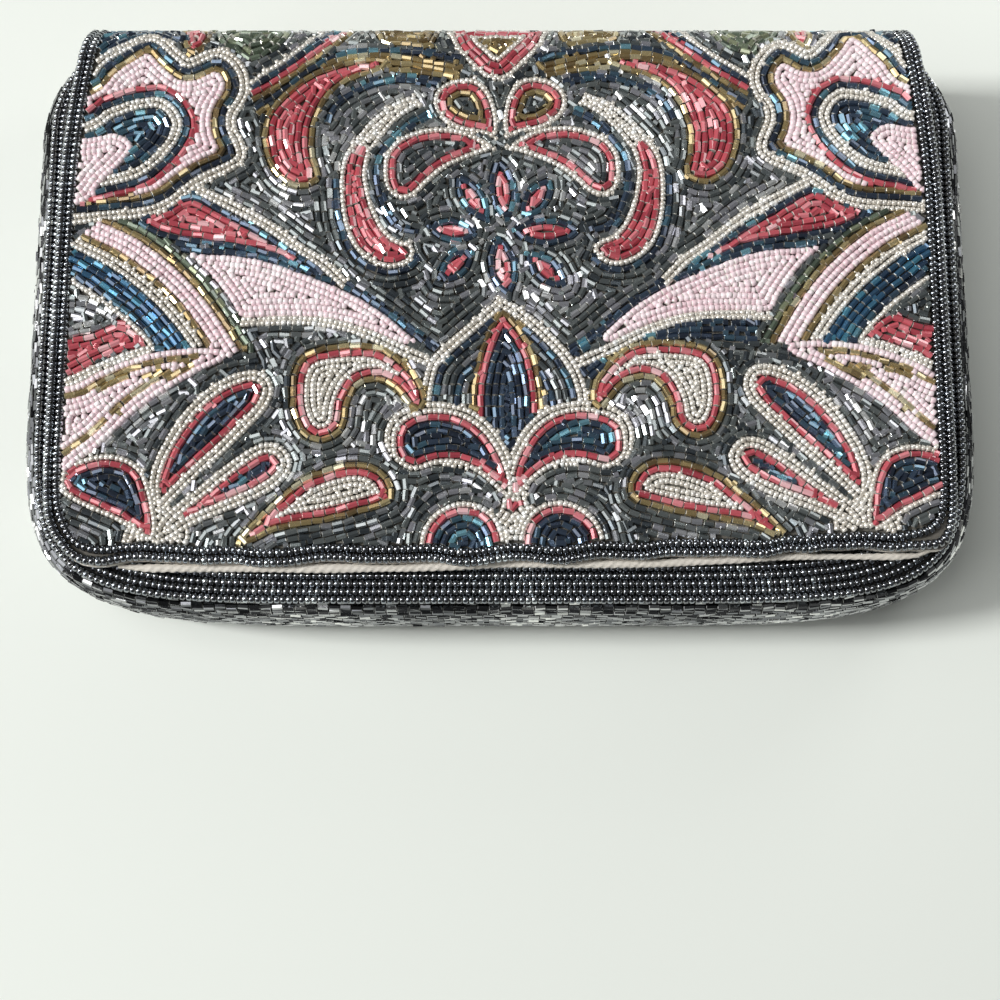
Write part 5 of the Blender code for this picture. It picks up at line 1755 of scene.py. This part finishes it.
# Where the roll runs in the photograph, as a few places along it and its length S there
ROLL_X = [-86, -80, -22, -13.5, 0, 22, 36, 45, 54, 62.5, 89, 94, 97.5]
ROLL_S = [-1.7, -2.1, -2.1, -1.65, -1.2, -1.2, -1.0, -0.5, -0.1, 0.5, 0.5, 0.8, 2.0]
path = np.arange(97.5, -86.1, -0.5)
path = np.column_stack((path, np.interp(path, ROLL_X, ROLL_S)))
length = path_length(path)
at = np.arange(0, length[-1], ROLL_STEP)
roll = np.column_stack((np.interp(at, length, path[:, 0]), np.interp(at, length, path[:, 1])))
ahead = np.gradient(roll, axis=0)
ahead /= np.hypot(*ahead.T)[:, None]
taper = np.clip(np.minimum(at, length[-1] - at) / 12 + 0.35, 0, 1) * (1 - 0.35 * at / length[-1])[::-1]
angle = np.linspace(0, 2 * math.pi, ROLL_SIDES, endpoint=False)
turns = at[:, None] / ROLL_RIB * 2 * math.pi + 3 * angle[None, :] + 1.8 * np.sin(at / 5.0)[:, None]
swell = np.sin(at / 7.3 + 2 * np.sin(at / 19.0))[:, None]
radius = ROLL_RADIUS * taper[:, None] * (1 + RIB_DEPTH * np.sin(turns) + ROLL_UNEVENNESS * swell)
side = radius * np.cos(angle)[None, :]
roll_z = FLAP_TOP - CLOTH_DEPTH - CLOTH - ROLL_RADIUS + radius * np.sin(angle)[None, :]
print("rolled edge:", round(float(at[-1])), "mm long")

# %% Rolled edge
bm = bmesh.new()
uv = bm.loops.layers.uv.new("cloth")
rings = []
for k in range(len(at)):
    x = roll[k, 0] - ahead[k, 1] * side[k]
    y = roll[k, 1] + FLAP_BOTTOM + ahead[k, 0] * side[k]
    rings.append([bm.verts.new(Vector(p) / 1000) for p in zip(x, y, roll_z[k])])
for k, (first, second) in enumerate(zip(rings, rings[1:])):
    for i in range(ROLL_SIDES):
        made = bm.faces.new((first[i], second[i], second[(i + 1) % ROLL_SIDES], first[(i + 1) % ROLL_SIDES]))
        made.smooth = True
        for loop, (along, round_) in zip(made.loops, ((0, 0), (1, 0), (1, 1), (0, 1))):
            loop[uv].uv = (at[k] + ROLL_STEP * along, (i + round_) * 2 * math.pi * ROLL_RADIUS / ROLL_SIDES)
bm.faces.new(rings[0])
bm.faces.new(rings[-1])
bmesh.ops.recalc_face_normals(bm, faces=bm.faces)
rolled = link(finished(bm, "flap_rolled_edge"))
rolled.data.materials.append(satin)
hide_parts("flap_piping")
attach(rolled, "flap")
print("faces of the rolled edge:", len(rolled.data.polygons))

# %% [markdown]
# ## The pocket's stitches
#
# A line of stitches holds the pocket on three sides, and one more runs along its hem.
# Each is a short bead of thread, strung by the same node tree as the glass.

# %% Pocket stitches
STITCH_PITCH, SEAM_INSET, HEM_INSET = 2.2, 2, 4
STITCH_SIZE, STITCH_STAND = (1.5, 0.30, 0.22), 0.60
up_the_side = np.arange(POCKET_HIGH - 1, POCKET_LOW + SEAM_INSET, -STITCH_PITCH)
along_foot = np.arange(-POCKET_HALF + SEAM_INSET, POCKET_HALF - 1, STITCH_PITCH)
along_hem = np.arange(-POCKET_HALF + 3, POCKET_HALF - 2, STITCH_PITCH)
seam = [(-POCKET_HALF + SEAM_INSET, y, 0, 1) for y in up_the_side]
seam += [(x, POCKET_LOW + SEAM_INSET, 1, 0) for x in along_foot]
seam += [(POCKET_HALF - SEAM_INSET, y, 0, 1) for y in up_the_side]
seam += [(x, POCKET_HIGH - HEM_INSET, 1, 0) for x in along_hem]
seam = np.array(seam)
sewn_v = (seam[:, 1] - POCKET_LOW) / (POCKET_HIGH - POCKET_LOW)
sewn_z = WALL + STITCH_STAND + pocket_rise(seam[:, 0] / POCKET_HALF, sewn_v)
directions = np.column_stack((seam[:, 2:], np.zeros(len(seam))))
pocket_stitches = Beads()
pocket_stitches.add(np.column_stack((seam[:, :2], sewn_z)), directions, upward(len(seam)), STITCH_SIZE)
stitch_piece = string("pocket_stitching", pocket_stitches.arrays(), seed_shape, satin)
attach(stitch_piece, "pouch")
# The single beads that were copied have done their work
for shape in (seed_shape, short_shape, bugle_shape, plain_shape):
    bpy.data.objects.remove(shape, do_unlink=True)

# %% [markdown]
# ## Floor and light
#
# The photograph was taken on a pale table by a window on the left. The window is a lamp
# far enough away to throw a clear shadow to the right. A wide, weaker one beside it is
# the pale wall round the window, which lights the bag's left side and gives the beads
# their broad reflections, and a third is the ceiling. A very weak lamp close by on the
# right is the light that comes back from the table beyond the picture. The room itself
# is nearly dark, because glass beads look milky when light comes from all sides.

# %% Floor
FLOOR_REACH, FLOOR_DROP = 3, 0.0001
corners = [(-1, -1), (1, -1), (1, 1), (-1, 1)]
floor_mesh = bpy.data.meshes.new("floor")
corners = [(x * FLOOR_REACH, y * FLOOR_REACH, -FLOOR_DROP) for x, y in corners]
floor_mesh.from_pydata(corners, [], [(0, 1, 2, 3)])
floor = link(bpy.data.objects.new("floor", floor_mesh))
floor_paint = new_material("pale_table")[0]
floor_shader = floor_paint.node_tree.nodes["Principled BSDF"]
floor_shader.inputs["Base Color"].default_value = colour(236, 240, 233)
floor_shader.inputs["Roughness"].default_value = 0.95
floor_shader.inputs["Specular IOR Level"].default_value = 0.1
floor.data.materials.append(floor_paint)
print("floor:", 2 * FLOOR_REACH, "m wide")


# %% Lamps
def panel(name, place, aim, size, power):
    """A soft square lamp at a place, turned to what it lights."""
    data = bpy.data.lights.new(name, "AREA")
    data.shape = "SQUARE"
    data.size = size
    data.energy = power
    lamp = bpy.data.objects.new(name, data)
    lamp.location = place
    lamp.rotation_euler = (Vector(aim) - Vector(place)).to_track_quat("-Z", "Y").to_euler()
    bpy.context.scene.collection.objects.link(lamp)


panel("window", (-2.00, 0.020, 1.710), (0, 0, 0), 0.46, 56.0)
panel("ceiling", (-0.60, 0.05, 1.50), (0, 0, 0), 0.80, 5.5)
panel("pale wall", (-2.60, -0.3, 1.00), (0, 0, 0), 2.40, 34.0)
panel("side table", (0.26, 0.20, 0.16), (0.10, 0, 0), 0.15, 0.20)

world = bpy.data.worlds.new("room")
world.use_nodes = True
world.node_tree.nodes["Background"].inputs["Color"].default_value = (0.98, 1.0, 0.99, 1.0)
world.node_tree.nodes["Background"].inputs["Strength"].default_value = 0.10
bpy.context.scene.world = world
bpy.context.scene.view_settings.view_transform = "Standard"
